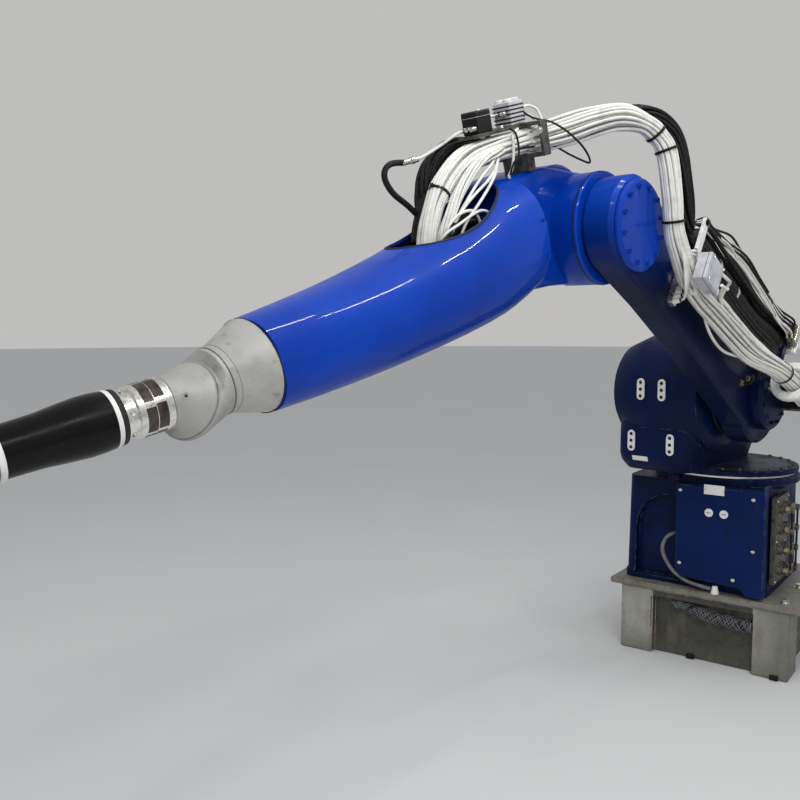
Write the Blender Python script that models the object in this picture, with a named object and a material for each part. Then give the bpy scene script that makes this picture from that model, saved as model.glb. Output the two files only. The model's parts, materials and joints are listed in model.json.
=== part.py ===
"""Six-axis painting robot arm on a welded steel riser, in metres, +Z up.

The world origin is on the floor under the turning axis of the turret, and +X leaves the riser's
front face.  Each moving body is built in its own frame, on an empty that stands on its joint
axis: turret (S), lower arm (L), upper arm (U), then the three rolls of the wrist (R, B, T).
"""
import math

import bmesh
import bpy
from mathutils import Matrix, Vector

# Driving dimensions of the arm, with the pose of the photograph
SHOULDER_FORWARD = 0.263      # S axis to L axis
SHOULDER_HEIGHT = 1.113       # floor to L axis
LOWER_REACH = 1.150           # L axis to U axis
COVER_REACH = 1.300           # U axis to the front edge of the upper cover
CONE_LENGTH = 0.105           # front edge of the cover to the R face
ROLL_LENGTH = 0.067           # R face to the crossing of the wrist axes
CONE_FRONT = COVER_REACH + CONE_LENGTH
WRIST_REACH = CONE_FRONT + ROLL_LENGTH
TURN = math.radians(-7.08)    # the turret's heading
LEAN = math.radians(60.3)     # the lower arm's lean forward from upright
DIP = math.radians(16.95)     # the upper arm's dip under level
OBLIQUE = math.radians(35.0)  # between the R axis and the B axis, and between B and T
OBLIQUE_ROLL = math.radians(-30.0)
WRIST_BEND = math.radians(-13.0)

# Gaps between pieces
SEAT = 0.0003                 # two pieces bolted together
RUN = 0.001                   # a sealed joint face that turns
SEGMENTS = 36

# Riser
RISER_WIDTH = 0.680
RISER_DEPTH = 0.680
RISER_FRONT = 0.291
RISER_HEIGHT = 0.275
RISER_RECESS = 0.035
RISER_HEAD = 0.030            # solid band over the recessed panels
LEG = 0.138
PLATE = 0.025
SIDE_OVERHANG = 0.046
FRONT_OVERHANG = 0.012

# Turret
TURRET_RISE = 0.333           # underside of the turntable to the L axis
TURRET_LOW = SHOULDER_HEIGHT - TURRET_RISE
TURNTABLE_RADIUS = 0.284
TURNTABLE_THICK = 0.024
COLUMN_CROWN = 0.037          # top of the column over the L axis
COLUMN_FRONT = 0.187          # front of the column from the L axis
COLUMN_BACK = 0.245           # back of the column from the S axis
DRUM_RADIUS = 0.232
DRUM_LEFT = -0.300
DRUM_RIGHT = 0.110
HUB_RADIUS = 0.150

# Base
BASE_FLOOR = RISER_HEIGHT + PLATE + SEAT
BASE_LEFT = -0.350
BASE_RIGHT = 0.236
BASE_FRONT = 0.246
BASE_BACK = -0.300
BASE_CORNER = 0.040
TURRET_GAP = 0.008
FLANGE_TOP = TURRET_LOW - TURRET_GAP
FLANGE_THICK = 0.030
FLANGE_RADIUS = 0.290
BASE_TOP = FLANGE_TOP - FLANGE_THICK
POCKET_DEPTH = 0.045
POCKET_RADIUS = 0.145
POCKET_SIDE = 0.050           # wall to the left of the pocket
POCKET_CROWN = 0.067          # metal over the pocket
BOX_DEPTH = 0.052
BOX_LOW = BASE_FLOOR + 0.012
BOX_LEFT = -0.112
BOX_TOP = FLANGE_TOP - 0.010

# Lower arm
SIDE_IN = 0.135               # inner side of the lower arm, from the arm's middle plane
SIDE_OUT = 0.240
SHOULDER_RADIUS = 0.185
ELBOW_RADIUS = 0.152
ARM_WAIST = 0.138             # half the arm's height at its narrowest
ARM_EDGE = 0.012
CAP_RADIUS = 0.138
SHOULDER_CAP_RADIUS = 0.130
CAP_OUT = 0.258
SHOULDER_CAP_OUT = 0.290
HOSE_RADIUS = 0.036
SHEATH_RADIUS = 0.042

# Upper arm
BARREL_RADIUS = 0.172
GEAR_RADIUS = 0.187
REAR_LEFT = -0.155
REAR_RIGHT = 0.045
REAR_TOP = 0.222
REAR_RADIUS = 0.180
COVER_BACK = 0.330
COVER_GAP = 0.001
COVER_WALL = 0.006
COVER_END = 0.108             # radius of the cover's front edge
REAR_FRONT = COVER_BACK - COVER_GAP
MOUTH_CENTRE = 0.255          # from the cover's back edge
MOUTH_LENGTH = 0.410
MOUTH_WIDTH = 0.216
TUBE_RADIUS = 0.070
CONE_SPIGOT = 0.012
SHELF_UP = 0.124              # shelf of the hose bracket over the rear housing
RUN_UP = 0.306                # middle of the bundle in the hose bracket

# Wrist and tool
ROLL_RADIUS = 0.075
BEND_LENGTH = 0.055           # from the wrist crossing to the tool ring, along the T axis


def clear_scene():
    for item in list(bpy.data.objects):
        bpy.data.objects.remove(item, do_unlink=True)


def paint(item, colour):
    material = bpy.data.materials.new(item.name + "_paint")
    material.use_nodes = True
    shader = material.node_tree.nodes["Principled BSDF"]
    shader.inputs["Base Color"].default_value = (*colour, 1.0)
    shader.inputs["Roughness"].default_value = 0.4
    item.data.materials.append(material)


BLUE = (0.004, 0.045, 0.45)
DARK_BLUE = (0.004, 0.028, 0.25)
CASTING = (0.42, 0.42, 0.41)
STEEL = (0.55, 0.55, 0.56)
BLACK = (0.02, 0.02, 0.022)
WHITE = (0.75, 0.75, 0.72)
GREY = (0.45, 0.46, 0.47)
RISER_WHITE = (0.62, 0.60, 0.54)


def joint_frame(name, parent, place, turn):
    """An empty on a joint axis, placed in its parent's frame."""
    empty = bpy.data.objects.new(name, None)
    bpy.context.scene.collection.objects.link(empty)
    empty.parent = parent
    empty.matrix_basis = Matrix.Translation(place) @ turn.to_4x4()
    return empty


def finish(name, bm, colour, parent, round_angle=35.0):
    """Close a bmesh into a named node with outward faces and smooth round stretches."""
    bmesh.ops.recalc_face_normals(bm, faces=bm.faces)
    mesh = bpy.data.meshes.new(name)
    bm.to_mesh(mesh)
    bm.free()
    item = bpy.data.objects.new(name, mesh)
    bpy.context.scene.collection.objects.link(item)
    item.parent = parent
    mesh.shade_smooth()
    mesh.set_sharp_from_angle(angle=math.radians(round_angle))
    paint(item, colour)
    return item


def bevel(item, width, segments=2, angle=40.0):
    change = item.modifiers.new("soft_edges", "BEVEL")
    change.width = width
    change.segments = segments
    change.limit_method = "ANGLE"
    change.angle_limit = math.radians(angle)
    change.harden_normals = False
    return item


def cut(item, cutter):
    change = item.modifiers.new("cut_" + cutter.name, "BOOLEAN")
    change.operation = "DIFFERENCE"
    change.solver = "EXACT"
    change.object = cutter
    cutter.hide_render = True
    cutter.display_type = "WIRE"
    return item


def join_on(item, other):
    change = item.modifiers.new("with_" + other.name, "BOOLEAN")
    change.operation = "UNION"
    change.solver = "EXACT"
    change.object = other
    other.hide_render = True
    other.display_type = "WIRE"
    return item


def axis_turn(direction):
    """A rotation that takes +X to the given direction."""
    return Vector((1.0, 0.0, 0.0)).rotation_difference(Vector(direction)).to_matrix()


def revolve_mesh(profile, axis=(1.0, 0.0, 0.0), centre=(0.0, 0.0, 0.0), steps=SEGMENTS, ring=False):
    """Turn (along, radius) points about an axis; a radius of zero is a pole."""
    bm = bmesh.new()
    rows = []
    for along, radius in profile:
        if radius < 1e-6:
            rows.append([bm.verts.new((along, 0.0, 0.0))])
            continue
        rows.append([bm.verts.new((along, radius * math.cos(2 * math.pi * i / steps),
                                   radius * math.sin(2 * math.pi * i / steps)))
                     for i in range(steps)])
    pairs = list(zip(rows, rows[1:]))
    if ring:
        pairs.append((rows[-1], rows[0]))
    for low, high in pairs:
        for i in range(steps):
            j = (i + 1) % steps
            if len(low) == 1 and len(high) == 1:
                continue
            if len(low) == 1:
                bm.faces.new((low[0], high[i], high[j]))
            elif len(high) == 1:
                bm.faces.new((low[i], low[j], high[0]))
            else:
                bm.faces.new((low[i], low[j], high[j], high[i]))
    if not ring:
        for row in (rows[0], rows[-1]):
            if len(row) > 1:
                bm.faces.new(row)
    bm.transform(Matrix.Translation(centre) @ axis_turn(axis).to_4x4())
    return bm


def loft_mesh(rows, closed_ends=True):
    """Skin rings of points, each ring with the same count."""
    bm = bmesh.new()
    rings = [[bm.verts.new(point) for point in row] for row in rows]
    count = len(rings[0])
    for low, high in zip(rings, rings[1:]):
        for i in range(count):
            j = (i + 1) % count
            bm.faces.new((low[i], low[j], high[j], high[i]))
    if closed_ends:
        bm.faces.new(rings[0])
        bm.faces.new(rings[-1])
    return bm


def prism_mesh(outline, start, end):
    """Push an (x, z) outline along y."""
    return loft_mesh([[(x, start, z) for x, z in outline], [(x, end, z) for x, z in outline]])


def box_mesh(low, high):
    bm = bmesh.new()
    bmesh.ops.create_cube(bm, size=1.0)
    size = [b - a for a, b in zip(low, high)]
    middle = [(a + b) / 2 for a, b in zip(low, high)]
    bm.transform(Matrix.Translation(middle) @ Matrix.Diagonal((*size, 1.0)))
    return bm


def super_ring(along, low, high, half_width, power=2.5, steps=SEGMENTS, middle=0.0):
    """A rounded section across +X, from low to high in z and half_width to each side."""
    points = []
    centre = (low + high) / 2
    tall = (high - low) / 2
    for i in range(steps):
        angle = 2 * math.pi * i / steps
        c = math.cos(angle)
        s = math.sin(angle)
        y = math.copysign(abs(c) ** (2 / power), c) * half_width
        z = math.copysign(abs(s) ** (2 / power), s) * tall
        points.append((along, middle + y, centre + z))
    return points


def arc(cx, cz, radius, start, end, steps=16):
    """Points of an arc in degrees, both ends kept."""
    return [(cx + radius * math.cos(math.radians(start + (end - start) * i / steps)),
             cz + radius * math.sin(math.radians(start + (end - start) * i / steps)))
            for i in range(steps + 1)]


def hose(name, points, radius, colour, parent, sides=2, smooth_steps=3):
    """A round hose through hand-set points, eased by a Catmull-Rom curve."""
    route = eased(points, smooth_steps)
    curve = bpy.data.curves.new(name, "CURVE")
    curve.dimensions = "3D"
    curve.bevel_depth = radius
    curve.bevel_resolution = sides
    curve.use_fill_caps = True
    line = curve.splines.new("POLY")
    line.points.add(len(route) - 1)
    for point, place in zip(line.points, route):
        point.co = (*place, 1.0)
    item = bpy.data.objects.new(name, curve)
    bpy.context.scene.collection.objects.link(item)
    item.parent = parent
    paint(item, colour)
    return item


def eased(points, steps):
    ends = [points[0], *points, points[-1]]
    route = []
    for before, start, end, after in zip(ends, ends[1:], ends[2:], ends[3:]):
        a, b, c, d = (Vector(place) for place in (before, start, end, after))
        for i in range(steps):
            t = i / steps
            route.append(0.5 * (2 * b + (c - a) * t + (2 * a - 5 * b + 4 * c - d) * t * t
                                + (3 * b - a - 3 * c + d) * t ** 3))
    route.append(Vector(points[-1]))
    return route


# Riser and base, in world places
def riser_frame():
    """Four legs tied by recessed side panels under a top sheet, one weldment with a closed floor."""
    front = RISER_FRONT
    back = front - RISER_DEPTH
    half = RISER_WIDTH / 2
    inset = RISER_RECESS
    frame = finish("riser_frame", box_mesh((back, -half, 0.0), (front, half, RISER_HEIGHT)),
                   RISER_WHITE, None)
    low = -0.01
    high = RISER_HEIGHT - RISER_HEAD
    sides = [
        ("front", (front - inset, -half + LEG, low), (front + 0.01, half - LEG, high)),
        ("back", (back - 0.01, -half + LEG, low), (back + inset, half - LEG, high)),
        ("left", (back + LEG, -half - 0.01, low), (front - LEG, -half + inset, high)),
        ("right", (back + LEG, half - inset, low), (front - LEG, half + 0.01, high)),
    ]
    for side, start, end in sides:
        cut(frame, finish("riser_recess_" + side, box_mesh(start, end), GREY, None))
    return bevel(frame, 0.004, 1)


def riser_plate():
    back = RISER_FRONT - RISER_DEPTH
    half = RISER_WIDTH / 2 + SIDE_OVERHANG
    bm = box_mesh((back - FRONT_OVERHANG, -half, RISER_HEIGHT + SEAT),
                  (RISER_FRONT + FRONT_OVERHANG, half, RISER_HEIGHT + PLATE))
    return bevel(finish("riser_top_plate", bm, RISER_WHITE, None), 0.004)


def riser_sleeve():
    """The braided sleeve that sags under the top plate in front of the recessed panel."""
    x = RISER_FRONT - RISER_RECESS + 0.016
    top = RISER_HEIGHT - RISER_HEAD
    half = RISER_WIDTH / 2 - LEG
    sags = [(-0.62, 0.018), (-0.35, 0.024), (0.0, 0.040), (0.35, 0.052), (0.69, 0.056), (0.987, 0.056)]
    route = [(x, share * half, top - sag) for share, sag in sags]
    hose("riser_sleeve", route, 0.014, BLACK, None)


def rounded_box(x_range, y_range, corner, steps=5):
    """Corner-rounded rectangle in plan, anticlockwise."""
    x0, x1 = x_range
    y0, y1 = y_range
    corners = [(x1 - corner, y1 - corner, 0), (x0 + corner, y1 - corner, 90),
               (x0 + corner, y0 + corner, 180), (x1 - corner, y0 + corner, 270)]
    points = []
    for cx, cy, start in corners:
        points += arc(cx, cy, corner, start, start + 90, steps)
    return points


def base_casting():
    """The foot: a rounded block with an arched pocket in its front and a round top flange."""
    floor = BASE_FLOOR
    rows = []
    for z, draft in ((floor, 0.0), (floor + 0.030, 0.0), (floor + 0.036, 0.005), (BASE_TOP, 0.010)):
        plan = rounded_box((BASE_BACK + draft, BASE_FRONT - draft),
                           (BASE_LEFT + draft, BASE_RIGHT - draft), BASE_CORNER)
        rows.append([(x, y, z) for x, y in plan])
    body = finish("base_casting", loft_mesh(rows), BLUE, None)
    middle = BASE_LEFT + POCKET_SIDE + POCKET_RADIUS
    spring = BASE_TOP - POCKET_CROWN - POCKET_RADIUS
    arch = arc(middle, spring, POCKET_RADIUS, 180, 0, 12)
    arch = [(arch[0][0], floor + 0.020)] + arch + [(arch[-1][0], floor + 0.020)]
    pocket = loft_mesh([[(BASE_FRONT - POCKET_DEPTH, y, z) for y, z in arch],
                        [(BASE_FRONT + 0.02, y, z) for y, z in arch]])
    cut(body, finish("base_pocket_cut", pocket, GREY, None))
    flange = revolve_mesh([(BASE_TOP - 0.020, 0.0), (BASE_TOP - 0.020, FLANGE_RADIUS - 0.030),
                           (BASE_TOP, FLANGE_RADIUS), (FLANGE_TOP - 0.006, FLANGE_RADIUS),
                           (FLANGE_TOP, FLANGE_RADIUS - 0.006), (FLANGE_TOP, 0.0)], axis=(0, 0, 1))
    join_on(body, finish("base_flange_add", flange, GREY, None))
    notch = box_mesh((BASE_FRONT, BOX_LEFT - 0.001, BASE_TOP - 0.10),
                     (BASE_FRONT + 0.10, BASE_RIGHT + 0.001, FLANGE_TOP + 0.05))
    cut(body, finish("flange_notch_cut", notch, GREY, None))
    return body


def connector_box():
    """The lighter front box of the base, with its lower left corner cut away."""
    back = BASE_FRONT + SEAT
    low = BOX_LOW
    outline = [(BOX_LEFT, low + 0.075), (BOX_LEFT + 0.022, low + 0.040), (0.150, low + 0.028),
               (0.170, low), (BASE_RIGHT, low), (BASE_RIGHT, BOX_TOP), (BASE_RIGHT - 0.016, BOX_TOP - 0.026),
               (BOX_LEFT, BOX_TOP - 0.026)]
    bm = loft_mesh([[(x, y, z) for y, z in outline] for x in (back, back + BOX_DEPTH)])
    return bevel(finish("connector_box", bm, BLUE, None), 0.004)


def box_fittings():
    front = BASE_FRONT + BOX_DEPTH + 2 * SEAT
    for i, side in enumerate((0.022, 0.081)):
        bm = revolve_mesh([(0.0, 0.0), (0.0, 0.017), (0.004, 0.017), (0.006, 0.014), (0.006, 0.0)],
                          centre=(front, side, BOX_TOP - 0.130), steps=24)
        finish("box_plug_%d" % (i + 1), bm, WHITE, None)
    foot = BASE_FLOOR
    profile = [(0.0, 0.0), (0.0, 0.016), (0.006, 0.016), (0.012, 0.014), (0.032, 0.010), (0.032, 0.0)]
    bm = revolve_mesh(profile, centre=(RISER_FRONT - 0.004, 0.052, foot), axis=(0, 0, 1), steps=24)
    finish("hose_fitting", bm, WHITE, None)


def side_connectors():
    """Bulkhead panel on the right of the base with two rows of stub fittings, one piece."""
    y0 = BASE_RIGHT + SEAT
    low = BASE_FLOOR + 0.050
    high = BASE_TOP - 0.042
    pitch = (high - low - 0.100) / 3
    plate = finish("side_connector_panel", box_mesh((0.010, y0, low), (0.200, y0 + 0.020, high)),
                   STEEL, None)
    for row in range(4):
        for column in range(2):
            centre = (0.060 + 0.090 * column, y0 + 0.012, low + 0.050 + pitch * row)
            profile = [(0.0, 0.0), (0.0, 0.020), (0.022, 0.020), (0.022, 0.013), (0.062, 0.013),
                       (0.062, 0.0)]
            stub = finish("stub_%d_%d_add" % (row, column),
                          revolve_mesh(profile, axis=(0, 1, 0), centre=centre, steps=8), STEEL, None)
            join_on(plate, stub)
    return plate


def base_hose():
    """The grey loop that leaves the arched pocket and ends on the white fitting."""
    x = BASE_FRONT - POCKET_DEPTH + SEAT
    rise = BASE_TOP - BASE_FLOOR
    shares = [(0.009, -0.075, 0.480), (0.040, -0.120, 0.497), (0.070, -0.158, 0.448),
              (0.076, -0.170, 0.316), (0.078, -0.130, 0.162), (0.080, -0.070, 0.076),
              (0.084, -0.010, 0.050), (0.086, 0.035, 0.041)]
    route = [(x + out, side, BASE_FLOOR + share * rise) for out, side, share in shares]
    hose("base_hose_loop", route, 0.008, WHITE, None)


# Turret, in its own frame: the origin is on the L axis height over the S axis, +X is the heading
def turret(frame):
    """Column, turntable and drum, one casting.  Each station of the column: share of its height, then
    how far its back, front, left and right sides draw in."""
    foot = 0.014 - TURRET_RISE
    stations = [(0.00, 0.005, 0.050, 0.020, 0.090), (0.10, 0.000, 0.010, 0.008, 0.080),
                (0.185, 0.000, 0.000, 0.004, 0.070), (0.48, 0.020, 0.000, 0.002, 0.030),
                (0.72, 0.085, 0.020, 0.002, 0.010), (1.00, 0.185, 0.050, 0.004, 0.010)]
    rows = []
    for share, back, front, left, right in stations:
        up = foot + share * (COLUMN_CROWN - foot)
        low = DRUM_LEFT + left
        high = DRUM_RIGHT - right
        ring = super_ring(0.0, back - COLUMN_BACK, SHOULDER_FORWARD + COLUMN_FRONT - front,
                          (high - low) / 2, power=6.0, middle=(high + low) / 2)
        rows.append([(along, side, up) for _, side, along in ring])
    body = finish("turret_body", loft_mesh(rows), BLUE, frame)
    low = -TURRET_RISE
    high = low + TURNTABLE_THICK
    table = revolve_mesh([(low, 0.0), (low, TURNTABLE_RADIUS - 0.004), (low + 0.004, TURNTABLE_RADIUS),
                          (high - 0.004, TURNTABLE_RADIUS), (high, TURNTABLE_RADIUS - 0.004),
                          (high, 0.0)], axis=(0, 0, 1))
    join_on(body, finish("turntable_add", table, BLUE, frame))
    join_on(body, finish("turret_drum_add", drum_mesh(), BLUE, frame))
    return body


def drum_mesh():
    """Housing of the L drive: a turned drum with its end drawn in, and the hub it carries the arm on."""
    r = DRUM_RADIUS
    profile = [(DRUM_LEFT, 0.0), (DRUM_LEFT, r - 0.060), (DRUM_LEFT + 0.012, r - 0.044),
               (DRUM_LEFT + 0.110, r), (DRUM_RIGHT - 0.030, r), (DRUM_RIGHT, r - 0.040),
               (DRUM_RIGHT, HUB_RADIUS), (SIDE_IN - RUN, HUB_RADIUS), (SIDE_IN - RUN, 0.0)]
    return revolve_mesh(profile, axis=(0, 1, 0), centre=(SHOULDER_FORWARD, 0, 0))


def access_plates(frame):
    """Four long cover plates: two on the front of the drum and two on the column under it."""
    drum_front = SHOULDER_FORWARD + DRUM_RADIUS
    column_front = SHOULDER_FORWARD + COLUMN_FRONT
    places = [("a", drum_front, -0.145, 0.018), ("b", drum_front, -0.056, 0.018),
              ("c", column_front, -0.038, -0.200), ("d", column_front, -0.205, -0.196)]
    for tag, front, side, up in places:
        obround(frame, "access_plate_" + tag, (front + SEAT, side, up))


def obround(frame, name, place, tall=0.086, wide=0.032, thick=0.006):
    straight = (tall - wide) / 2
    outline = arc(0.0, straight, wide / 2, 0, 180, 8) + arc(0.0, -straight, wide / 2, 180, 360, 8)
    bm = loft_mesh([[(x, y, z) for y, z in outline] for x in (0.0, thick)])
    bm.transform(Matrix.Translation(place))
    return finish(name, bm, WHITE, frame)


# Lower arm, in its own frame: +X to the elbow, +Y outward, +Z up and back
BAR_HEIGHT = 0.022
RUN_SIDE = SIDE_OUT + 2 * SEAT + BAR_HEIGHT + HOSE_RADIUS
LUG_TOP = 0.150
SHEATH_SIDE = 0.215
SHEATH_UP = LUG_TOP + SEAT + SHEATH_RADIUS
SHEATH_STOP = -0.030          # lower end of the sheath, along the arm
GLAND_UP = SHEATH_UP + 0.052
GUIDE_RADIUS = 0.078
GUIDE_SIDE = SHOULDER_CAP_OUT + SEAT + GUIDE_RADIUS


def lower_outline(shoulder, elbow, waist):
    """Round ends joined by flanks that draw in at the waist."""
    reach = LOWER_REACH
    start = arc(0.0, 0.0, shoulder, 60, 300, 20)
    low = [(reach * t, -waist - (shoulder - waist) * (1 - t) ** 4) for t in (0.22, 0.40, 0.60, 0.80)]
    end = arc(reach, 0.0, elbow, -80, 80, 14)
    high = [(x, -z) for x, z in reversed(low)]
    return start + low + end + high


def lower_arm(frame):
    soft = ARM_EDGE
    outline = lower_outline(SHOULDER_RADIUS, ELBOW_RADIUS, ARM_WAIST)
    inner = lower_outline(SHOULDER_RADIUS - soft, ELBOW_RADIUS - soft, ARM_WAIST - soft)
    rows = [[(x, y, z) for x, z in shape] for y, shape in
            ((SIDE_IN, inner), (SIDE_IN + soft, outline), (SIDE_OUT - soft, outline),
             (SIDE_OUT, inner))]
    body = finish("lower_arm_casting", loft_mesh(rows), BLUE, frame)
    for tag, before in (("a", 0.725), ("b", 0.550), ("c", 0.380)):
        along = LOWER_REACH - before
        lug = box_mesh((along, SHEATH_SIDE - 0.020, 0.100), (along + 0.035, SHEATH_SIDE + 0.020, LUG_TOP))
        join_on(body, finish("sheath_lug_%s_add" % tag, lug, BLUE, frame))
    join_on(body, finish("sheath_gland_add", gland_mesh(), BLUE, frame))
    return body


def gland_mesh():
    """The round-topped plate over the shoulder that the sheath ends in."""
    radius = SHEATH_RADIUS + 0.008
    foot = SHOULDER_RADIUS - 0.030
    outline = arc(SHEATH_SIDE, GLAND_UP, radius, 0, 180, 12)
    outline += [(SHEATH_SIDE - radius, foot), (SHEATH_SIDE + radius, foot)]
    return loft_mesh([[(x, y, z) for y, z in outline] for x in (SHEATH_STOP - 0.030, SHEATH_STOP - SEAT)])


def arm_caps(frame):
    """The round caps over the elbow bearing and over the shoulder bearing."""
    cap = revolve_mesh([(SIDE_OUT + SEAT, 0.0), (SIDE_OUT + SEAT, CAP_RADIUS),
                        (CAP_OUT - 0.008, CAP_RADIUS), (CAP_OUT, CAP_RADIUS - 0.010),
                        (CAP_OUT, 0.0)], axis=(0, 1, 0), centre=(LOWER_REACH, 0.0, 0.0))
    finish("elbow_cap", cap, BLUE, frame)
    radius = SHOULDER_CAP_RADIUS
    cap = revolve_mesh([(SIDE_OUT + SEAT, 0.0), (SIDE_OUT + SEAT, radius),
                        (SHOULDER_CAP_OUT - 0.012, radius), (SHOULDER_CAP_OUT, radius - 0.012),
                        (SHOULDER_CAP_OUT, 0.0)], axis=(0, 1, 0))
    finish("shoulder_cap", cap, BLUE, frame)


def lower_fittings(frame):
    """Valve box, manifold bar, guide ring, end block and stub post on the arm's outer face."""
    y = SIDE_OUT + SEAT
    elbow = LOWER_REACH
    over = RUN_SIDE + HOSE_RADIUS + 0.007
    box = box_mesh((elbow - 0.305, over, -0.060), (elbow - 0.205, over + 0.046, 0.035))
    valve = bevel(finish("valve_box", box, GREY, frame), 0.006)
    leg = box_mesh((elbow - 0.270, y, 0.032), (elbow - 0.246, over + 0.002, 0.060))
    join_on(valve, finish("valve_leg_add", leg, GREY, frame))
    bar = box_mesh((elbow - 0.304, y, -0.100), (elbow - 0.274, y + BAR_HEIGHT, 0.100))
    bevel(finish("hose_manifold_bar", bar, STEEL, frame), 0.002)
    top = y + 0.031
    ell = [(y, 0.060), (top, 0.060), (top, 0.245), (top - 0.012, 0.245), (top - 0.012, 0.105), (y, 0.105)]
    post = loft_mesh([[(elbow - back, side, up) for side, up in ell] for back in (0.346, 0.318)])
    finish("sheath_post", post, WHITE, frame)
    ring = revolve_mesh([(0.060, 0.052), (0.060, GUIDE_RADIUS - 0.006), (0.066, GUIDE_RADIUS),
                         (0.084, GUIDE_RADIUS), (0.090, GUIDE_RADIUS - 0.006), (0.090, 0.052),
                         (0.084, 0.046), (0.066, 0.046)],
                        centre=(0.0, GUIDE_SIDE, 0.028), ring=True, steps=24)
    finish("hose_guide_ring", ring, WHITE, frame)
    block = box_mesh((-0.106, SHOULDER_CAP_OUT + SEAT, -0.010), (-0.0755, GUIDE_SIDE + 0.040, 0.080))
    bevel(finish("hose_end_block", block, BLACK, frame), 0.003)


def lower_hoses(frame):
    """The white bundle over the bar and through the guide ring, and the black sheath on its lugs."""
    y = RUN_SIDE
    elbow = LOWER_REACH
    run = [(elbow - 0.300, y, -0.015), (elbow - 0.370, y, -0.013), (elbow - 0.490, y, -0.004),
           (elbow - 0.650, y + 0.002, 0.004), (0.340, y + 0.018, 0.006), (0.200, GUIDE_SIDE - 0.015, 0.018),
           (0.075, GUIDE_SIDE, 0.028), (-0.010, GUIDE_SIDE - 0.001, 0.031),
           (-0.0735, GUIDE_SIDE - 0.001, 0.031)]
    hose("lower_hose_bundle", run, HOSE_RADIUS, WHITE, frame)
    sheath = [(elbow - 0.335, SHEATH_SIDE, SHEATH_UP), (elbow - 0.550, SHEATH_SIDE, SHEATH_UP),
              (elbow - 0.730, SHEATH_SIDE, SHEATH_UP), (0.300, SHEATH_SIDE, SHEATH_UP + 0.003),
              (0.200, SHEATH_SIDE, SHEATH_UP + 0.014), (0.100, SHEATH_SIDE, SHEATH_UP + 0.037),
              (0.025, SHEATH_SIDE, GLAND_UP), (-0.005, SHEATH_SIDE, GLAND_UP),
              (SHEATH_STOP, SHEATH_SIDE, GLAND_UP)]
    hose("lower_black_sheath", sheath, SHEATH_RADIUS, BLACK, frame)


def elbow_loops(frame):
    """The two loops that arch over the elbow; they bend as the U axis turns."""
    y = RUN_SIDE
    white = [(-0.2955, y, -0.015), (-0.255, y, -0.012), (-0.200, y + 0.003, 0.006),
             (-0.105, y + 0.003, 0.058), (-0.038, y + 0.003, 0.136), (0.040, y - 0.008, 0.228),
             (0.088, 0.272, 0.258), (0.140, 0.245, 0.266), (0.197, 0.200, 0.250), (0.240, 0.140, 0.207),
             (0.283, 0.086, 0.152), (0.3255, 0.046, 0.101), (0.3632, 0.034, 0.061)]
    black = [(-0.3315, SHEATH_SIDE, SHEATH_UP), (-0.300, SHEATH_SIDE, SHEATH_UP + 0.004),
             (-0.260, 0.216, 0.230), (-0.210, 0.220, 0.298), (-0.138, 0.212, 0.378),
             (-0.064, 0.188, 0.444), (0.016, 0.150, 0.436), (0.112, 0.092, 0.340), (0.180, 0.035, 0.258),
             (0.250, -0.020, 0.176), (0.312, -0.055, 0.108), (0.3589, -0.065, 0.057)]
    for name, past_elbow, radius, colour in (("elbow_loop_white", white, HOSE_RADIUS, WHITE),
                                             ("elbow_loop_black", black, 0.024, BLACK)):
        route = [(LOWER_REACH + along, side, up) for along, side, up in past_elbow]
        hose(name, route, radius, colour, frame)


# Upper arm, in its own frame: +X to the wrist, +Z up
def cover_stations():
    """Each row: along, bottom, top, half width, from shares of the cover's length."""
    length = COVER_REACH - COVER_BACK
    shares = [(0.0, -0.112, REAR_TOP, 0.150), (0.124, -0.134, 0.208, 0.160),
              (0.247, -0.142, 0.176, 0.163), (0.412, -0.141, 0.144, 0.160),
              (0.567, -0.137, 0.126, 0.150), (0.722, -0.130, 0.114, 0.138),
              (0.876, -0.120, 0.109, 0.123), (1.0, -0.001 - COVER_END, COVER_END - 0.001, COVER_END + 0.001)]
    return [(COVER_BACK + share * length, low, high, half) for share, low, high, half in shares]


def between(rows, steps):
    """Catmull-Rom between number rows."""
    ends = [rows[0], *rows, rows[-1]]
    out = []
    for p, q, r, s in zip(ends, ends[1:], ends[2:], ends[3:]):
        for i in range(steps):
            t = i / steps
            out.append(tuple(0.5 * (2 * b + (c - a) * t + (2 * a - 5 * b + 4 * c - d) * t * t
                                    + (3 * b - a - 3 * c + d) * t ** 3)
                             for a, b, c, d in zip(p, q, r, s)))
    out.append(tuple(rows[-1]))
    return out


def upper_cover(frame):
    """The long moulded cover: a lofted shell, open at both ends and on top where hoses enter."""
    rows = [super_ring(x, low, high, half, power=2.3) for x, low, high, half in
            between(cover_stations(), 2)]
    item = finish("upper_arm_cover", loft_mesh(rows, closed_ends=False), BLUE, frame, 50.0)
    shell = item.modifiers.new("wall", "SOLIDIFY")
    shell.thickness = COVER_WALL
    shell.offset = -1.0
    centre = COVER_BACK + MOUTH_CENTRE
    mouth = [(centre + MOUTH_LENGTH / 2 * math.cos(2 * math.pi * i / 32),
              MOUTH_WIDTH / 2 * math.sin(2 * math.pi * i / 32)) for i in range(32)]
    cutter = loft_mesh([[(x, y, z) for x, y in mouth] for z in (0.04, 0.30)])
    return cut(item, finish("cover_mouth_cut", cutter, GREY, frame))


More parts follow.
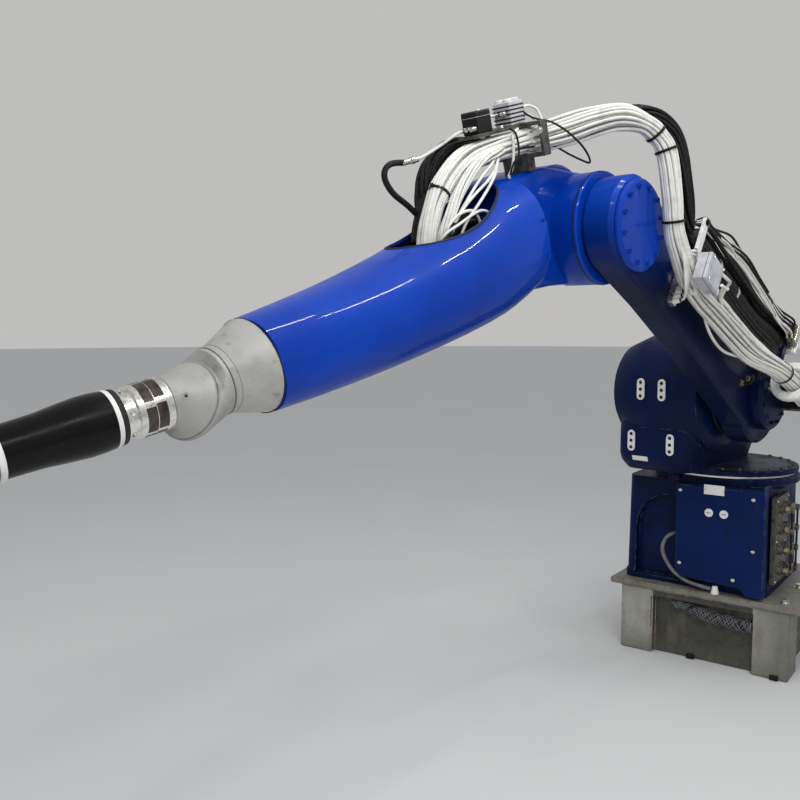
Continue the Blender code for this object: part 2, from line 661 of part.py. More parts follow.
def upper_rear(frame):
    """The rear housing, drawn in side view and pushed across, with its barrel and gearbox."""
    top = REAR_TOP
    front = REAR_FRONT
    outline = arc(0.0, 0.0, REAR_RADIUS, 100, 250, 16)
    outline += [(0.060, -0.156), (front - 0.149, -0.130), (front, -0.108)]
    outline += [(front, top - 0.006), (front - 0.079, top), (0.140, top), (0.050, top - 0.020)]
    body = finish("upper_arm_rear", prism_mesh(outline, REAR_LEFT, REAR_RIGHT), BLUE, frame)
    bevel(body, 0.024, 3, 50.0)
    barrel = revolve_mesh([(0.0, 0.0), (0.0, BARREL_RADIUS), (SIDE_IN - RUN - 0.004, BARREL_RADIUS),
                           (SIDE_IN - RUN, BARREL_RADIUS - 0.004), (SIDE_IN - RUN, 0.0)], axis=(0, 1, 0))
    join_on(body, finish("elbow_barrel_add", barrel, BLUE, frame))
    gearbox = revolve_mesh([(REAR_LEFT + 0.006, 0.0), (REAR_LEFT + 0.006, GEAR_RADIUS - 0.010),
                            (REAR_LEFT + 0.016, GEAR_RADIUS), (-0.050, GEAR_RADIUS),
                            (-0.040, GEAR_RADIUS - 0.010), (-0.040, 0.0)],
                           axis=(0, 1, 0), centre=(-0.030, 0.0, 0.020))
    join_on(body, finish("elbow_gearbox_add", gearbox, BLUE, frame))
    return body


def forearm_tube(frame):
    """The hollow arm tube inside the cover."""
    start = REAR_FRONT + SEAT
    seat = COVER_REACH - CONE_SPIGOT
    r = TUBE_RADIUS
    bm = revolve_mesh([(start, 0.0), (start, r + 0.015), (start + 0.031, r + 0.015), (start + 0.041, r),
                       (seat - 0.088, r), (seat - 0.038, r + 0.020), (seat, r + 0.020), (seat, 0.0)])
    return finish("forearm_tube", bm, DARK_BLUE, frame)


def wrist_cone(frame):
    """Casting from the cover's edge to the R face, with a spigot inside the cover."""
    seat = COVER_REACH - CONE_SPIGOT + SEAT
    edge = COVER_REACH + SEAT
    spigot = COVER_END - 0.014
    bm = revolve_mesh([(seat, 0.0), (seat, spigot), (edge, spigot), (edge, COVER_END - 0.001),
                       (edge + 0.004, COVER_END), (CONE_FRONT - 0.016, ROLL_RADIUS + 0.002),
                       (CONE_FRONT, ROLL_RADIUS - 0.0005), (CONE_FRONT, 0.0)])
    return finish("wrist_cone", bm, CASTING, frame)


def upper_fittings(frame):
    """The hose bracket on the rear housing and the two valve blocks on its shelf."""
    foot = REAR_TOP + SEAT
    shelf = REAR_TOP + SHELF_UP
    lid = shelf + 0.010
    gate = [(-0.045, foot), (0.045, foot), (0.045, foot + 0.036), (0.104, foot + 0.036), (0.104, lid),
            (-0.106, lid), (-0.106, foot + 0.036), (-0.045, foot + 0.036)]
    bm = loft_mesh([[(x, y, z) for y, z in gate] for x in (0.190, 0.222)])
    bracket = finish("hose_bracket", bm, STEEL, frame)
    join_on(bracket, finish("bracket_shelf_add", box_mesh((0.165, -0.035, shelf), (0.420, 0.035, lid)),
                            STEEL, frame))
    hole = box_mesh((0.10, -0.096, RUN_UP - HOSE_RADIUS - SEAT), (0.30, 0.094, shelf - 0.001))
    cut(bracket, finish("bracket_hole_cut", hole, GREY, frame))
    top = lid + SEAT
    bevel(finish("valve_block_black", box_mesh((0.338, -0.026, top), (0.406, 0.026, top + 0.058)), BLACK,
                 frame), 0.003)
    bevel(finish("valve_block_silver", box_mesh((0.184, -0.028, top), (0.252, 0.028, top + 0.066)), STEEL,
                 frame), 0.003)


def upper_hoses(frame):
    """The bundles from the bracket down into the mouth of the cover."""
    white = [(0.2130, 0.032, RUN_UP), (0.262, 0.019, RUN_UP), (0.332, 0.004, RUN_UP), (0.450, 0.000, 0.298),
             (0.540, 0.000, 0.262), (0.600, 0.000, 0.217), (0.645, 0.000, 0.160), (0.668, 0.000, 0.112)]
    hose("upper_hose_bundle", white, HOSE_RADIUS, WHITE, frame)
    black = [(0.2090, -0.065, 0.300), (0.300, -0.070, 0.300), (0.400, -0.075, 0.286),
             (0.486, -0.076, 0.254), (0.555, -0.072, 0.206), (0.604, -0.066, 0.150),
             (0.625, -0.062, 0.112)]
    hose("upper_black_hose", black, 0.024, BLACK, frame)


# Wrist: three rolls, each face square to the next axis
FACE_CENTRE = Vector((0.006, 0.0, -0.015))    # of the B face, from the wrist crossing
TOOL_CENTRE = Vector((0.0, 0.0, -0.006))      # a point of the T axis


def oblique_axis():
    """Direction of the B axis in the upper arm's frame."""
    tilt = Vector((0.0, -math.sin(OBLIQUE_ROLL), math.cos(OBLIQUE_ROLL)))
    return math.cos(OBLIQUE) * Vector((1, 0, 0)) + math.sin(OBLIQUE) * tilt


def tool_axis():
    return Matrix.Rotation(WRIST_BEND, 3, oblique_axis()) @ Vector((1, 0, 0))


def face_ring(centre, normal, radius, steps=SEGMENTS):
    """A circle of points square to the normal, started on the +Y side so that rings line up."""
    side = (Vector((0, 1, 0)) - normal * normal.y).normalized()
    up = normal.cross(side)
    return [tuple(centre + side * (radius * math.cos(2 * math.pi * i / steps))
                  + up * (radius * math.sin(2 * math.pi * i / steps))) for i in range(steps)]


def roll_body(frame):
    """First roll of the wrist: from the round R face to the oblique B face."""
    back = CONE_FRONT + RUN - WRIST_REACH
    straight = Vector((1, 0, 0))
    b_axis = oblique_axis()
    face = FACE_CENTRE - b_axis * (RUN / 2)
    rows = [face_ring(Vector((back, 0, 0)), straight, ROLL_RADIUS - 0.0015),
            face_ring(Vector((back + 0.002, 0, 0)), straight, ROLL_RADIUS - 0.0002),
            face_ring(Vector((back + 0.010, 0, -0.001)), straight, ROLL_RADIUS + 0.0002),
            face_ring(face - b_axis * 0.008, b_axis, ROLL_RADIUS + 0.008),
            face_ring(face, b_axis, ROLL_RADIUS + 0.0072)]
    return finish("wrist_roll_body", loft_mesh(rows), CASTING, frame)


def bend_body(frame):
    """Second roll: from the oblique face to the tool ring, set out from the wrist crossing."""
    b_axis = oblique_axis()
    t_axis = tool_axis()
    face = FACE_CENTRE + b_axis * (RUN / 2)
    rows = [face_ring(face, b_axis, ROLL_RADIUS + 0.0035),
            face_ring(face + b_axis * 0.006, b_axis, ROLL_RADIUS + 0.0035),
            face_ring(TOOL_CENTRE + t_axis * (BEND_LENGTH - 0.006), t_axis, 0.0555),
            face_ring(TOOL_CENTRE + t_axis * BEND_LENGTH, t_axis, 0.0545)]
    bm = loft_mesh(rows)
    bm.transform(frame.matrix_basis.inverted())
    return finish("wrist_bend_body", bm, CASTING, frame)


def turned(name, profile, colour, frame):
    """A turned piece from (along, radius) points, closed on its axis at both ends."""
    closed = [(profile[0][0], 0.0), *profile, (profile[-1][0], 0.0)]
    return finish(name, revolve_mesh(closed), colour, frame)


def tool_parts(frame):
    """The flange ring and the paint atomiser, along the T axis (+X of this frame)."""
    start = BEND_LENGTH + RUN
    turned("tool_flange_ring", [(start, 0.0545), (0.128, 0.0545), (0.131, 0.0505), (0.154, 0.0505)],
           STEEL, frame)
    turned("tool_collar", [(0.154 + SEAT, 0.056), (0.166, 0.0575)], BLACK, frame)
    turned("tool_band_rear", [(0.166 + SEAT, 0.0578), (0.176, 0.0585)], WHITE, frame)
    turned("tool_body", [(0.176 + SEAT, 0.058), (0.200, 0.0600), (0.225, 0.0600), (0.260, 0.057),
                         (0.310, 0.0520), (0.420, 0.0485)], BLACK, frame)
    turned("tool_band_front", [(0.420 + SEAT, 0.0488), (0.432, 0.0488)], WHITE, frame)
    turned("tool_nose", [(0.432 + SEAT, 0.0480), (0.480, 0.0460), (0.530, 0.036), (0.545, 0.034)],
           BLACK, frame)
    turned("bell_cup", [(0.545 + SEAT, 0.016), (0.560, 0.018), (0.582, 0.029), (0.584, 0.029)],
           STEEL, frame)


def build():
    clear_scene()
    riser_frame()
    riser_plate()
    riser_sleeve()
    base_casting()
    connector_box()
    box_fittings()
    side_connectors()
    base_hose()
    about_y = Vector((0, 1, 0))
    s_frame = joint_frame("s_axis", None, (0.0, 0.0, SHOULDER_HEIGHT), Matrix.Rotation(TURN, 3, "Z"))
    turret(s_frame)
    access_plates(s_frame)
    l_frame = joint_frame("l_axis", s_frame, (SHOULDER_FORWARD, 0.0, 0.0),
                          Matrix.Rotation(LEAN - math.pi / 2, 3, about_y))
    lower_arm(l_frame)
    arm_caps(l_frame)
    lower_fittings(l_frame)
    lower_hoses(l_frame)
    elbow_loops(l_frame)
    u_frame = joint_frame("u_axis", l_frame, (LOWER_REACH, 0.0, 0.0),
                          Matrix.Rotation(DIP + math.pi / 2 - LEAN, 3, about_y))
    upper_cover(u_frame)
    upper_rear(u_frame)
    forearm_tube(u_frame)
    wrist_cone(u_frame)
    upper_fittings(u_frame)
    upper_hoses(u_frame)
    r_frame = joint_frame("r_axis", u_frame, (WRIST_REACH, 0.0, 0.0), Matrix.Identity(3))
    roll_body(r_frame)
    b_frame = joint_frame("b_axis", r_frame, FACE_CENTRE, axis_turn(oblique_axis()))
    bend_body(b_frame)
    from_b = b_frame.matrix_basis.inverted()
    t_frame = joint_frame("t_axis", b_frame, from_b @ TOOL_CENTRE,
                          from_b.to_3x3() @ axis_turn(tool_axis()))
    tool_parts(t_frame)


build()
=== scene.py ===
# %% [markdown]
# # A painting robot arm, finished piece by piece
# The part is a floor-standing robot arm of the kind that paints large goods. The CAD model already
# holds its castings, joints and hoses at their true size, so this lesson gives them their surfaces:
# glossy paint, bare castings, turned steel, and the many small tubes that feed the paint tool.
# Everything is in metres, with +Z up and the origin on the floor under the turret's axis.

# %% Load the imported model
import json
import math

import bmesh
import bpy
from mathutils import Matrix, Vector, noise
from mathutils.bvhtree import BVHTree


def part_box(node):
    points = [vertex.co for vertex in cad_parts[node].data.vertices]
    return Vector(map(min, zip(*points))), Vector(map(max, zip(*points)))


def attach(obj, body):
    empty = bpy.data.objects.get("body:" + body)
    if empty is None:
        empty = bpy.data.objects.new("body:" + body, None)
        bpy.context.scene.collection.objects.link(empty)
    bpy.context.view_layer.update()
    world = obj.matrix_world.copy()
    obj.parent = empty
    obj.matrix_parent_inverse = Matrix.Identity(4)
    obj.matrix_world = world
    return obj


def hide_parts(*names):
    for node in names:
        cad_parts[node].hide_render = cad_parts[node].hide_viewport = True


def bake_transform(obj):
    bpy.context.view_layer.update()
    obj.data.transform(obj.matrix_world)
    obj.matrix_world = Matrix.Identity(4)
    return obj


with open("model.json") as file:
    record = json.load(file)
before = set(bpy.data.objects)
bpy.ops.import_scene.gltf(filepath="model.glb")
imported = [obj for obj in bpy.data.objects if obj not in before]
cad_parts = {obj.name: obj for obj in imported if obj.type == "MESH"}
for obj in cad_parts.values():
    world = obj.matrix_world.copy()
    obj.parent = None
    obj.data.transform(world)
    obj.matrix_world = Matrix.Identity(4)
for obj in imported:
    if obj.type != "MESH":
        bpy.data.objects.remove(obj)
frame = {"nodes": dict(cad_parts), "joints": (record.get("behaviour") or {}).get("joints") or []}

noise.seed_set(7)             # or noise vectors start from the clock and differ from run to run
nodes = frame["nodes"]
for leftover in ("Cube", "Light", "Camera"):
    if leftover in bpy.data.objects:
        bpy.data.objects.remove(bpy.data.objects[leftover])
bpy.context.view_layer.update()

# %% [markdown]
# Each moving body has its own frame on its joint axis, and a drawing of the arm would give sizes in
# those frames: along the arm, out to its side, and up from it. They could be typed in again, but the
# packed joints already say where each axis stands, so the frames are built from them.

# %% Frames on the joint axes
X, Y, Z = (1, 0, 0), (0, 1, 0), (0, 0, 1)


def shown(name, data):
    """A new object in the scene."""
    item = bpy.data.objects.new(name, data)
    bpy.context.scene.collection.objects.link(item)
    return item


def stand(origin, along, side):
    """A matrix whose X runs along, whose Y runs to the side and whose Z completes them."""
    x = along.normalized()
    z = x.cross(side).normalized()
    turn = Matrix((x, z.cross(x), z)).transposed()
    return Matrix.Translation(origin) @ turn.to_4x4()


joints = {joint["name"]: joint for joint in frame["joints"]}
place_of = {name: Vector(joint["pos_m"]) for name, joint in joints.items()}
line_of = {name: Vector(joint["axis"]).normalized() for name, joint in joints.items()}
outward = line_of["u_swing"]
GROUND = Matrix()
TURRET = stand(place_of["s_turn"], place_of["l_lean"] - place_of["s_turn"], outward)
LOWER = stand(place_of["l_lean"], place_of["u_swing"] - place_of["l_lean"], outward)
UPPER = stand(place_of["u_swing"], line_of["r_roll"], outward)
TOOL = stand(place_of["t_roll"], line_of["t_roll"], outward)
lower_reach = (place_of["u_swing"] - place_of["l_lean"]).length
print("shoulder to elbow", round(lower_reach, 3), "m")

# %% [markdown]
# The camera stands where the photographer stood: a little under head height, to the right of the
# wrist, with the arm's tip nearest to the lens. A lens of about 40 mm keeps the strong perspective.

# %% Camera
CAMERA_PLACE = Vector((3.835, 1.086, 1.401))
CAMERA_LOOK = Vector((-0.8017, -0.591, -0.09))

lens = bpy.data.cameras.new("camera")
lens.lens = 39.54
lens.sensor_width = 36.0
camera = shown("camera", lens)
camera.location = CAMERA_PLACE
camera.rotation_euler = CAMERA_LOOK.to_track_quat("-Z", "Y").to_euler()
bpy.context.scene.camera = camera

# %% [markdown]
# Shaders are built from a few small steps that repeat: a base finish, a mask of noise, a stain laid
# over the base through a mask, a change of gloss, and a relief. Each is a short function, so that a
# finish reads as a recipe. The masks read Object coordinates, which are metres on the whole machine,
# because every mesh keeps its place in its own points.


def shader_of(finish):
    return finish.node_tree.nodes["Principled BSDF"]


def new_finish(name, colour, rough, metallic=0.0, coat=0.0, coat_rough=0.08, specular=0.5):
    """A material with one principled shader."""
    finish = bpy.data.materials.new(name)
    finish.use_nodes = True
    inputs = shader_of(finish).inputs
    for label, value in (("Base Color", (*colour, 1.0)), ("Roughness", rough), ("Metallic", metallic),
                         ("Coat Weight", coat), ("Coat Roughness", coat_rough),
                         ("Specular IOR Level", specular)):
        inputs[label].default_value = value
    return finish


def node(finish, kind, operation=None, **settings):
    """A node of a kind. Each setting is a value for the input of that name, or a socket to link to it."""
    made = finish.node_tree.nodes.new("ShaderNode" + kind)
    if operation:
        made.operation = operation
    for label, value in settings.items():
        socket = made.inputs[int(label[1:]) if label[1:].isdigit() else label.replace("_", " ")]
        if isinstance(value, bpy.types.NodeSocket):
            finish.node_tree.links.new(value, socket)
        else:
            socket.default_value = value
    return made


def level(finish, value, low, high):
    """A mask: black under the low level, white over the high one."""
    return node(finish, "MapRange", Value=value, From_Min=low, From_Max=high).outputs["Result"]


def grain(finish, scale, low, high, stretch=(1, 1, 1), detail=5.0):
    """A mask of noise."""
    place = node(finish, "TexCoord").outputs["Object"]
    pull = node(finish, "Mapping", Vector=place, Scale=stretch).outputs["Vector"]
    cloud = node(finish, "TexNoise", Vector=pull, Scale=scale, Detail=detail)
    return level(finish, cloud.outputs["Fac"], low, high)


def times(finish, first, second):
    """The product of two masks, or of a mask and a number."""
    return node(finish, "Math", "MULTIPLY", _0=first, _1=second).outputs[0]


def stain(finish, colour, mask):
    """Lays a colour over the finish where the mask is white."""
    base = shader_of(finish).inputs["Base Color"]
    mix = finish.node_tree.nodes.new("ShaderNodeMix")
    mix.data_type = "RGBA"
    if base.is_linked:
        finish.node_tree.links.new(base.links[0].from_socket, mix.inputs[6])
    else:
        mix.inputs[6].default_value = base.default_value
    mix.inputs[7].default_value = (*colour, 1.0)
    finish.node_tree.links.new(mask, mix.inputs[0])
    finish.node_tree.links.new(mix.outputs[2], base)


def specks(finish, colour, share, scale, low, high, stretch=(1, 1, 1)):
    """Stains the finish in a cloud of noise, at a share of its strength."""
    stain(finish, colour, times(finish, grain(finish, scale, low, high, stretch), share))


def dull(finish, rough, scale, low, high):
    """Changes the roughness in a cloud of noise."""
    target = shader_of(finish).inputs["Roughness"]
    mix = node(finish, "Mix", _0=grain(finish, scale, low, high), _2=target.default_value, _3=rough)
    finish.node_tree.links.new(mix.outputs[0], target)


def relief(finish, scale, depth, detail=5.0):
    """Raises the surface in a cloud of noise. The depth is in metres."""
    height = grain(finish, scale, 0.3, 0.7, detail=detail)
    bump = node(finish, "Bump", Height=height, Distance=depth)
    finish.node_tree.links.new(bump.outputs["Normal"], shader_of(finish).inputs["Normal"])


# %% [markdown]
# Wear starts at edges. A Bevel node bends the normal close to an edge, so the angle between the bent
# and the true normal marks the edges of any mesh, with no painting by hand.

# %% Edge and place masks
def chips(finish, colour, width, scale, low, high):
    """Stains the finish within a width of its edges, broken up by noise."""
    soft = node(finish, "Bevel", Radius=width).outputs["Normal"]
    true = node(finish, "NewGeometry").outputs["Normal"]
    turn = node(finish, "VectorMath", "DOT_PRODUCT", _0=soft, _1=true).outputs["Value"]
    stain(finish, colour, times(finish, level(finish, turn, 0.995, 0.9), grain(finish, scale, low, high)))


def by_place(finish, low, high, axis="Z"):
    """A mask that goes from black to white between two places along an axis, such as two heights."""
    place = node(finish, "TexCoord").outputs["Object"]
    return level(finish, node(finish, "SeparateXYZ", Vector=place).outputs[axis], low, high)


def upward(finish):
    """A mask that is white on faces that look up, where dust lies. It reads the mesh's own normals."""
    normal = node(finish, "TexCoord").outputs["Normal"]
    return level(finish, node(finish, "SeparateXYZ", Vector=normal).outputs["Z"], 0.8, 0.98)


# %% [markdown]
# The upper arm's cover is wiped clean between jobs and still shines: a deep blue under a clear coat,
# with the faint ripple of sprayed paint. The lower castings carry the same blue under years of
# overspray, so they are duller, streaked downwards, and chipped along their edges. The navy finishes
# are that blue painted much darker, partly for the grime and partly as painted shade, and the lower
# arm's casting gets painted shade towards its bottom.

# %% Blue paint
BLUE_GLOSS = new_finish("blue_gloss", (0.0002, 0.04, 0.36), 0.4, coat=0.28, coat_rough=0.04,
                        specular=0.08)
specks(BLUE_GLOSS, (0.0002, 0.026, 0.26), 0.75, 4.0, 0.42, 0.68)
specks(BLUE_GLOSS, (0.02, 0.1, 0.48), 0.25, 210.0, 0.66, 0.74)
dull(BLUE_GLOSS, 0.52, 9.0, 0.45, 0.65)
relief(BLUE_GLOSS, 48.0, 0.00013, 1.0)

BLUE_CASTING = new_finish("blue_casting", (0.0002, 0.038, 0.33), 0.45, coat=0.14,
                          coat_rough=0.1, specular=0.09)
specks(BLUE_CASTING, (0.0004, 0.018, 0.19), 0.6, 3.5, 0.4, 0.66)
# Painted shade: the casting turns near-black navy from 1.74 m down to 1.5 m in height.
stain(BLUE_CASTING, (0.0003, 0.0036, 0.019), times(BLUE_CASTING, by_place(BLUE_CASTING, 1.74, 1.5), 0.96))
specks(BLUE_CASTING, (0.02, 0.03, 0.05), 0.3, 130.0, 0.66, 0.76)
chips(BLUE_CASTING, (0.05, 0.055, 0.07), 0.004, 40.0, 0.5, 0.62)
dull(BLUE_CASTING, 0.6, 7.0, 0.42, 0.62)
relief(BLUE_CASTING, 38.0, 0.0005, 2.0)


def worn_shaded_navy(name, colour, deep):
    """Old blue paint made dark, partly by grime and partly as painted shade: cloudy, streaked downwards,
    dusty on top and chipped along its edges.
    """
    finish = new_finish(name, colour, 0.48, coat=0.07, coat_rough=0.14, specular=0.1)
    specks(finish, deep, 0.8, 3.0, 0.38, 0.62)
    specks(finish, (0.002, 0.009, 0.028), 0.5, 26.0, 0.56, 0.74, (1, 1, 0.22))
    specks(finish, (0.05, 0.055, 0.07), 0.25, 160.0, 0.67, 0.75)
    stain(finish, (0.032, 0.038, 0.052), times(finish, upward(finish), grain(finish, 11.0, 0.2, 0.8)))
    chips(finish, (0.14, 0.13, 0.12), 0.004, 35.0, 0.5, 0.6)
    dull(finish, 0.7, 8.0, 0.45, 0.62)
    relief(finish, 45.0, 0.0006, 3.0)
    return finish


# Both navy finishes are the cover's blue painted darker: partly grime, partly painted shade.
NAVY_WORN_SHADED = worn_shaded_navy("navy_worn_shaded", (0.0004, 0.008, 0.052), (0.0004, 0.0038, 0.022))
BOX_BLUE_SHADED = worn_shaded_navy("box_blue_shaded", (0.0003, 0.0105, 0.078), (0.0003, 0.0066, 0.05))

# %% [markdown]
# The wrist is bare aluminium, shot-blasted to a silky grey. The tool's ring and the clamps are steel,
# turned on a lathe, and their fine lines run round the axis. Noise pulled out along one direction
# gives such lines without a picture of them.

# %% Bare metals
CASTING = new_finish("bare_casting", (0.46, 0.452, 0.43), 0.48, metallic=0.35)
specks(CASTING, (0.3, 0.29, 0.275), 0.7, 14.0, 0.46, 0.7)
specks(CASTING, (0.2, 0.19, 0.175), 0.6, 34.0, 0.6, 0.72)
specks(CASTING, (0.56, 0.55, 0.53), 0.5, 260.0, 0.58, 0.7)
# Painted shade: the casting is darker past 2.5 m along X, over the wrist.
stain(CASTING, (0.3, 0.295, 0.28), times(CASTING, by_place(CASTING, 2.5, 2.66, "X"), 0.45))
dull(CASTING, 0.62, 20.0, 0.42, 0.62)
relief(CASTING, 320.0, 0.00012, 2.0)

STEEL = new_finish("turned_steel", (0.78, 0.77, 0.74), 0.24, metallic=1.0)
specks(STEEL, (0.3, 0.28, 0.25), 0.6, 60.0, 0.52, 0.7)
dull(STEEL, 0.45, 90.0, 0.45, 0.62)
relief(STEEL, 500.0, 0.00006, 1.0)

DARK_STEEL = new_finish("grimy_steel", (0.13, 0.128, 0.12), 0.46, metallic=0.7)
specks(DARK_STEEL, (0.035, 0.033, 0.03), 0.8, 45.0, 0.48, 0.66)
chips(DARK_STEEL, (0.3, 0.29, 0.27), 0.002, 80.0, 0.48, 0.6)
dull(DARK_STEEL, 0.65, 60.0, 0.45, 0.62)

BRASS = new_finish("plated_brass", (0.4, 0.34, 0.22), 0.38, metallic=1.0)
specks(BRASS, (0.16, 0.13, 0.08), 0.8, 120.0, 0.48, 0.66)
dull(BRASS, 0.55, 150.0, 0.45, 0.6)

# %% [markdown]
# Plastics and tubes. The white tubes are polyethylene, slightly clear, so a little light passes under
# their skin. Paint mist has greyed them, and each has a dark line where it lies against the next.

# %% Plastics and rubber
WHITE_PLASTIC = new_finish("white_plastic", (0.72, 0.71, 0.68), 0.38)
specks(WHITE_PLASTIC, (0.42, 0.41, 0.38), 0.7, 60.0, 0.54, 0.74)
dull(WHITE_PLASTIC, 0.6, 40.0, 0.45, 0.65)
relief(WHITE_PLASTIC, 300.0, 0.00008, 2.0)

WHITE_TUBE = new_finish("white_tube", (0.7, 0.69, 0.65), 0.32)
skin = shader_of(WHITE_TUBE).inputs
skin["Subsurface Weight"].default_value = 0.12
skin["Subsurface Radius"].default_value = (0.004, 0.004, 0.003)
specks(WHITE_TUBE, (0.5, 0.49, 0.45), 0.8, 30.0, 0.5, 0.72)
specks(WHITE_TUBE, (0.22, 0.21, 0.19), 0.6, 190.0, 0.66, 0.76)
dull(WHITE_TUBE, 0.5, 60.0, 0.45, 0.65)

BLACK_PLASTIC = new_finish("black_plastic", (0.0045, 0.0045, 0.005), 0.36, specular=0.3)
specks(BLACK_PLASTIC, (0.03, 0.03, 0.031), 0.4, 90.0, 0.6, 0.74)
dull(BLACK_PLASTIC, 0.5, 18.0, 0.42, 0.65)
relief(BLACK_PLASTIC, 420.0, 0.00005, 2.0)

TOOL_BLACK = new_finish("tool_black", (0.0035, 0.0035, 0.004), 0.25, specular=0.16)
specks(TOOL_BLACK, (0.016, 0.016, 0.017), 0.4, 90.0, 0.62, 0.76)
dull(TOOL_BLACK, 0.34, 18.0, 0.42, 0.65)

SMOKED = new_finish("smoked_window", (0.01, 0.008, 0.007), 0.3)
specks(SMOKED, (0.055, 0.036, 0.027), 0.8, 70.0, 0.44, 0.6, (1, 1, 0.3))

BLACK_CABLE = new_finish("black_cable", (0.0075, 0.0075, 0.008), 0.58, specular=0.3)
specks(BLACK_CABLE, (0.1, 0.1, 0.095), 0.6, 170.0, 0.62, 0.75)
dull(BLACK_CABLE, 0.75, 50.0, 0.45, 0.65)
relief(BLACK_CABLE, 260.0, 0.0004, 3.0)

BLACK_RUBBER = new_finish("black_rubber", (0.01, 0.01, 0.011), 0.68)
relief(BLACK_RUBBER, 350.0, 0.0001)

GREY_HOSE = new_finish("grey_hose", (0.15, 0.155, 0.16), 0.45)
specks(GREY_HOSE, (0.09, 0.09, 0.09), 0.7, 40.0, 0.45, 0.65)

GREY_PAINT = new_finish("grey_paint", (0.47, 0.47, 0.5), 0.45)
specks(GREY_PAINT, (0.24, 0.245, 0.25), 0.6, 24.0, 0.48, 0.7)
chips(GREY_PAINT, (0.1, 0.1, 0.1), 0.003, 70.0, 0.45, 0.6)
relief(GREY_PAINT, 180.0, 0.00015)

# %% [markdown]
# The riser is painted off-white with a brush, and it has lived on the floor: rust creeps in from the
# edges and welds, grime gathers low down, and the sunk panels are a dark olive grey, partly grime and
# partly painted shade of their recess.

# %% Riser paint
def rusty(name, colour):
    """Brushed paint that rusts at its edges and in spots, with grime low down."""
    finish = new_finish(name, colour, 0.55)
    specks(finish, tuple(0.62 * c for c in colour), 0.7, 9.0, 0.45, 0.68)
    specks(finish, (0.16, 0.13, 0.08), 0.6, 20.0, 0.52, 0.7, (1, 1, 0.25))
    chips(finish, (0.13, 0.055, 0.022), 0.012, 48.0, 0.49, 0.57)
    stain(finish, (0.1, 0.045, 0.02), grain(finish, 75.0, 0.665, 0.7))
    stain(finish, (0.09, 0.085, 0.07), times(finish, by_place(finish, 0.1, -0.04), 0.8))
    dull(finish, 0.85, 45.0, 0.5, 0.6)
    relief(finish, 60.0, 0.001, 6.0)
    return finish


RISER_WHITE = rusty("riser_white", (0.33, 0.325, 0.285))
# Painted shade: the sunk panels' dark olive is partly their grime and partly the shade of the recess.
RISER_OLIVE_SHADED = rusty("riser_olive_shaded", (0.046, 0.047, 0.037))
RISER_PLATE = rusty("riser_plate", (0.18, 0.177, 0.155))
stain(RISER_WHITE, (0.12, 0.118, 0.1), times(RISER_WHITE, by_place(RISER_WHITE, 0.14, 0.3, "Y"), 0.75))

# %% [markdown]
# CAD faces meet in knife edges, and no casting has those: a real edge is rounded by the mould, by
# grinding and by paint, and that thin round is what catches the light. Each CAD solid is copied,
# welded, cleared of the lines that triangles leave on flat faces, and its sharp edges are bevelled.

# %% Dressing a CAD solid
def piece(name, bm, finish, body, round_angle=35.0):
    """Turns a finished bmesh into an object that rides on a body."""
    mesh = bpy.data.meshes.new(name)
    bm.to_mesh(mesh)
    bm.free()
    mesh.shade_smooth()
    mesh.set_sharp_from_angle(angle=math.radians(round_angle))
    item = shown(name, mesh)
    mesh.materials.append(finish)
    if body:
        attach(item, body)
    return item


def dress(name, finish, body, soft=0.002, flat=0.5, sharp=38.0):
    """A welded copy of a CAD node with soft edges, which stands for the node."""
    bm = bmesh.new()
    bm.from_mesh(nodes[name].data)
    bmesh.ops.remove_doubles(bm, verts=bm.verts, dist=0.00001)
    bmesh.ops.dissolve_limit(bm, angle_limit=math.radians(flat), verts=bm.verts, edges=bm.edges)
    if soft:
        edges = [edge for edge in bm.edges if edge.calc_face_angle(0.0) > math.radians(sharp)]
        bmesh.ops.bevel(bm, geom=edges, offset=soft, segments=2, profile=0.5, affect="EDGES",
                        clamp_overlap=True, material=-1)
    item = piece(name + "_dressed", bm, finish, body)
    even = item.modifiers.new("even_flats", "WEIGHTED_NORMAL")
    even.keep_sharp = True
    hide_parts(name)
    return item


# %% [markdown]
# The blue castings first. The cover is a thin moulding, so its edges stay fine. The base, turret and
# lower arm are sand castings with rounder edges.

# %% Castings and covers
DRESSED = [("upper_arm_rear", BLUE_GLOSS, "upper_arm", 0.004),
           ("forearm_tube", NAVY_WORN_SHADED, "upper_arm", 0.002),
           ("lower_arm_casting", BLUE_CASTING, "lower_arm", 0.003),
           ("elbow_cap", BLUE_GLOSS, "lower_arm", 0.002),
           ("shoulder_cap", BLUE_CASTING, "lower_arm", 0.002),
           ("turret_body", NAVY_WORN_SHADED, "turret", 0.004),
           ("base_casting", NAVY_WORN_SHADED, "base", 0.004), ("connector_box", BOX_BLUE_SHADED, "base", 0.002),
           ("wrist_cone", CASTING, "upper_arm", 0.001), ("wrist_roll_body", CASTING, "wrist_roll", 0.001),
           ("wrist_bend_body", CASTING, "wrist_bend", 0.001)]
cover = dress("upper_arm_cover", BLUE_GLOSS, "upper_arm", 0.0015, flat=0.02)
for row in DRESSED:
    dress(*row)

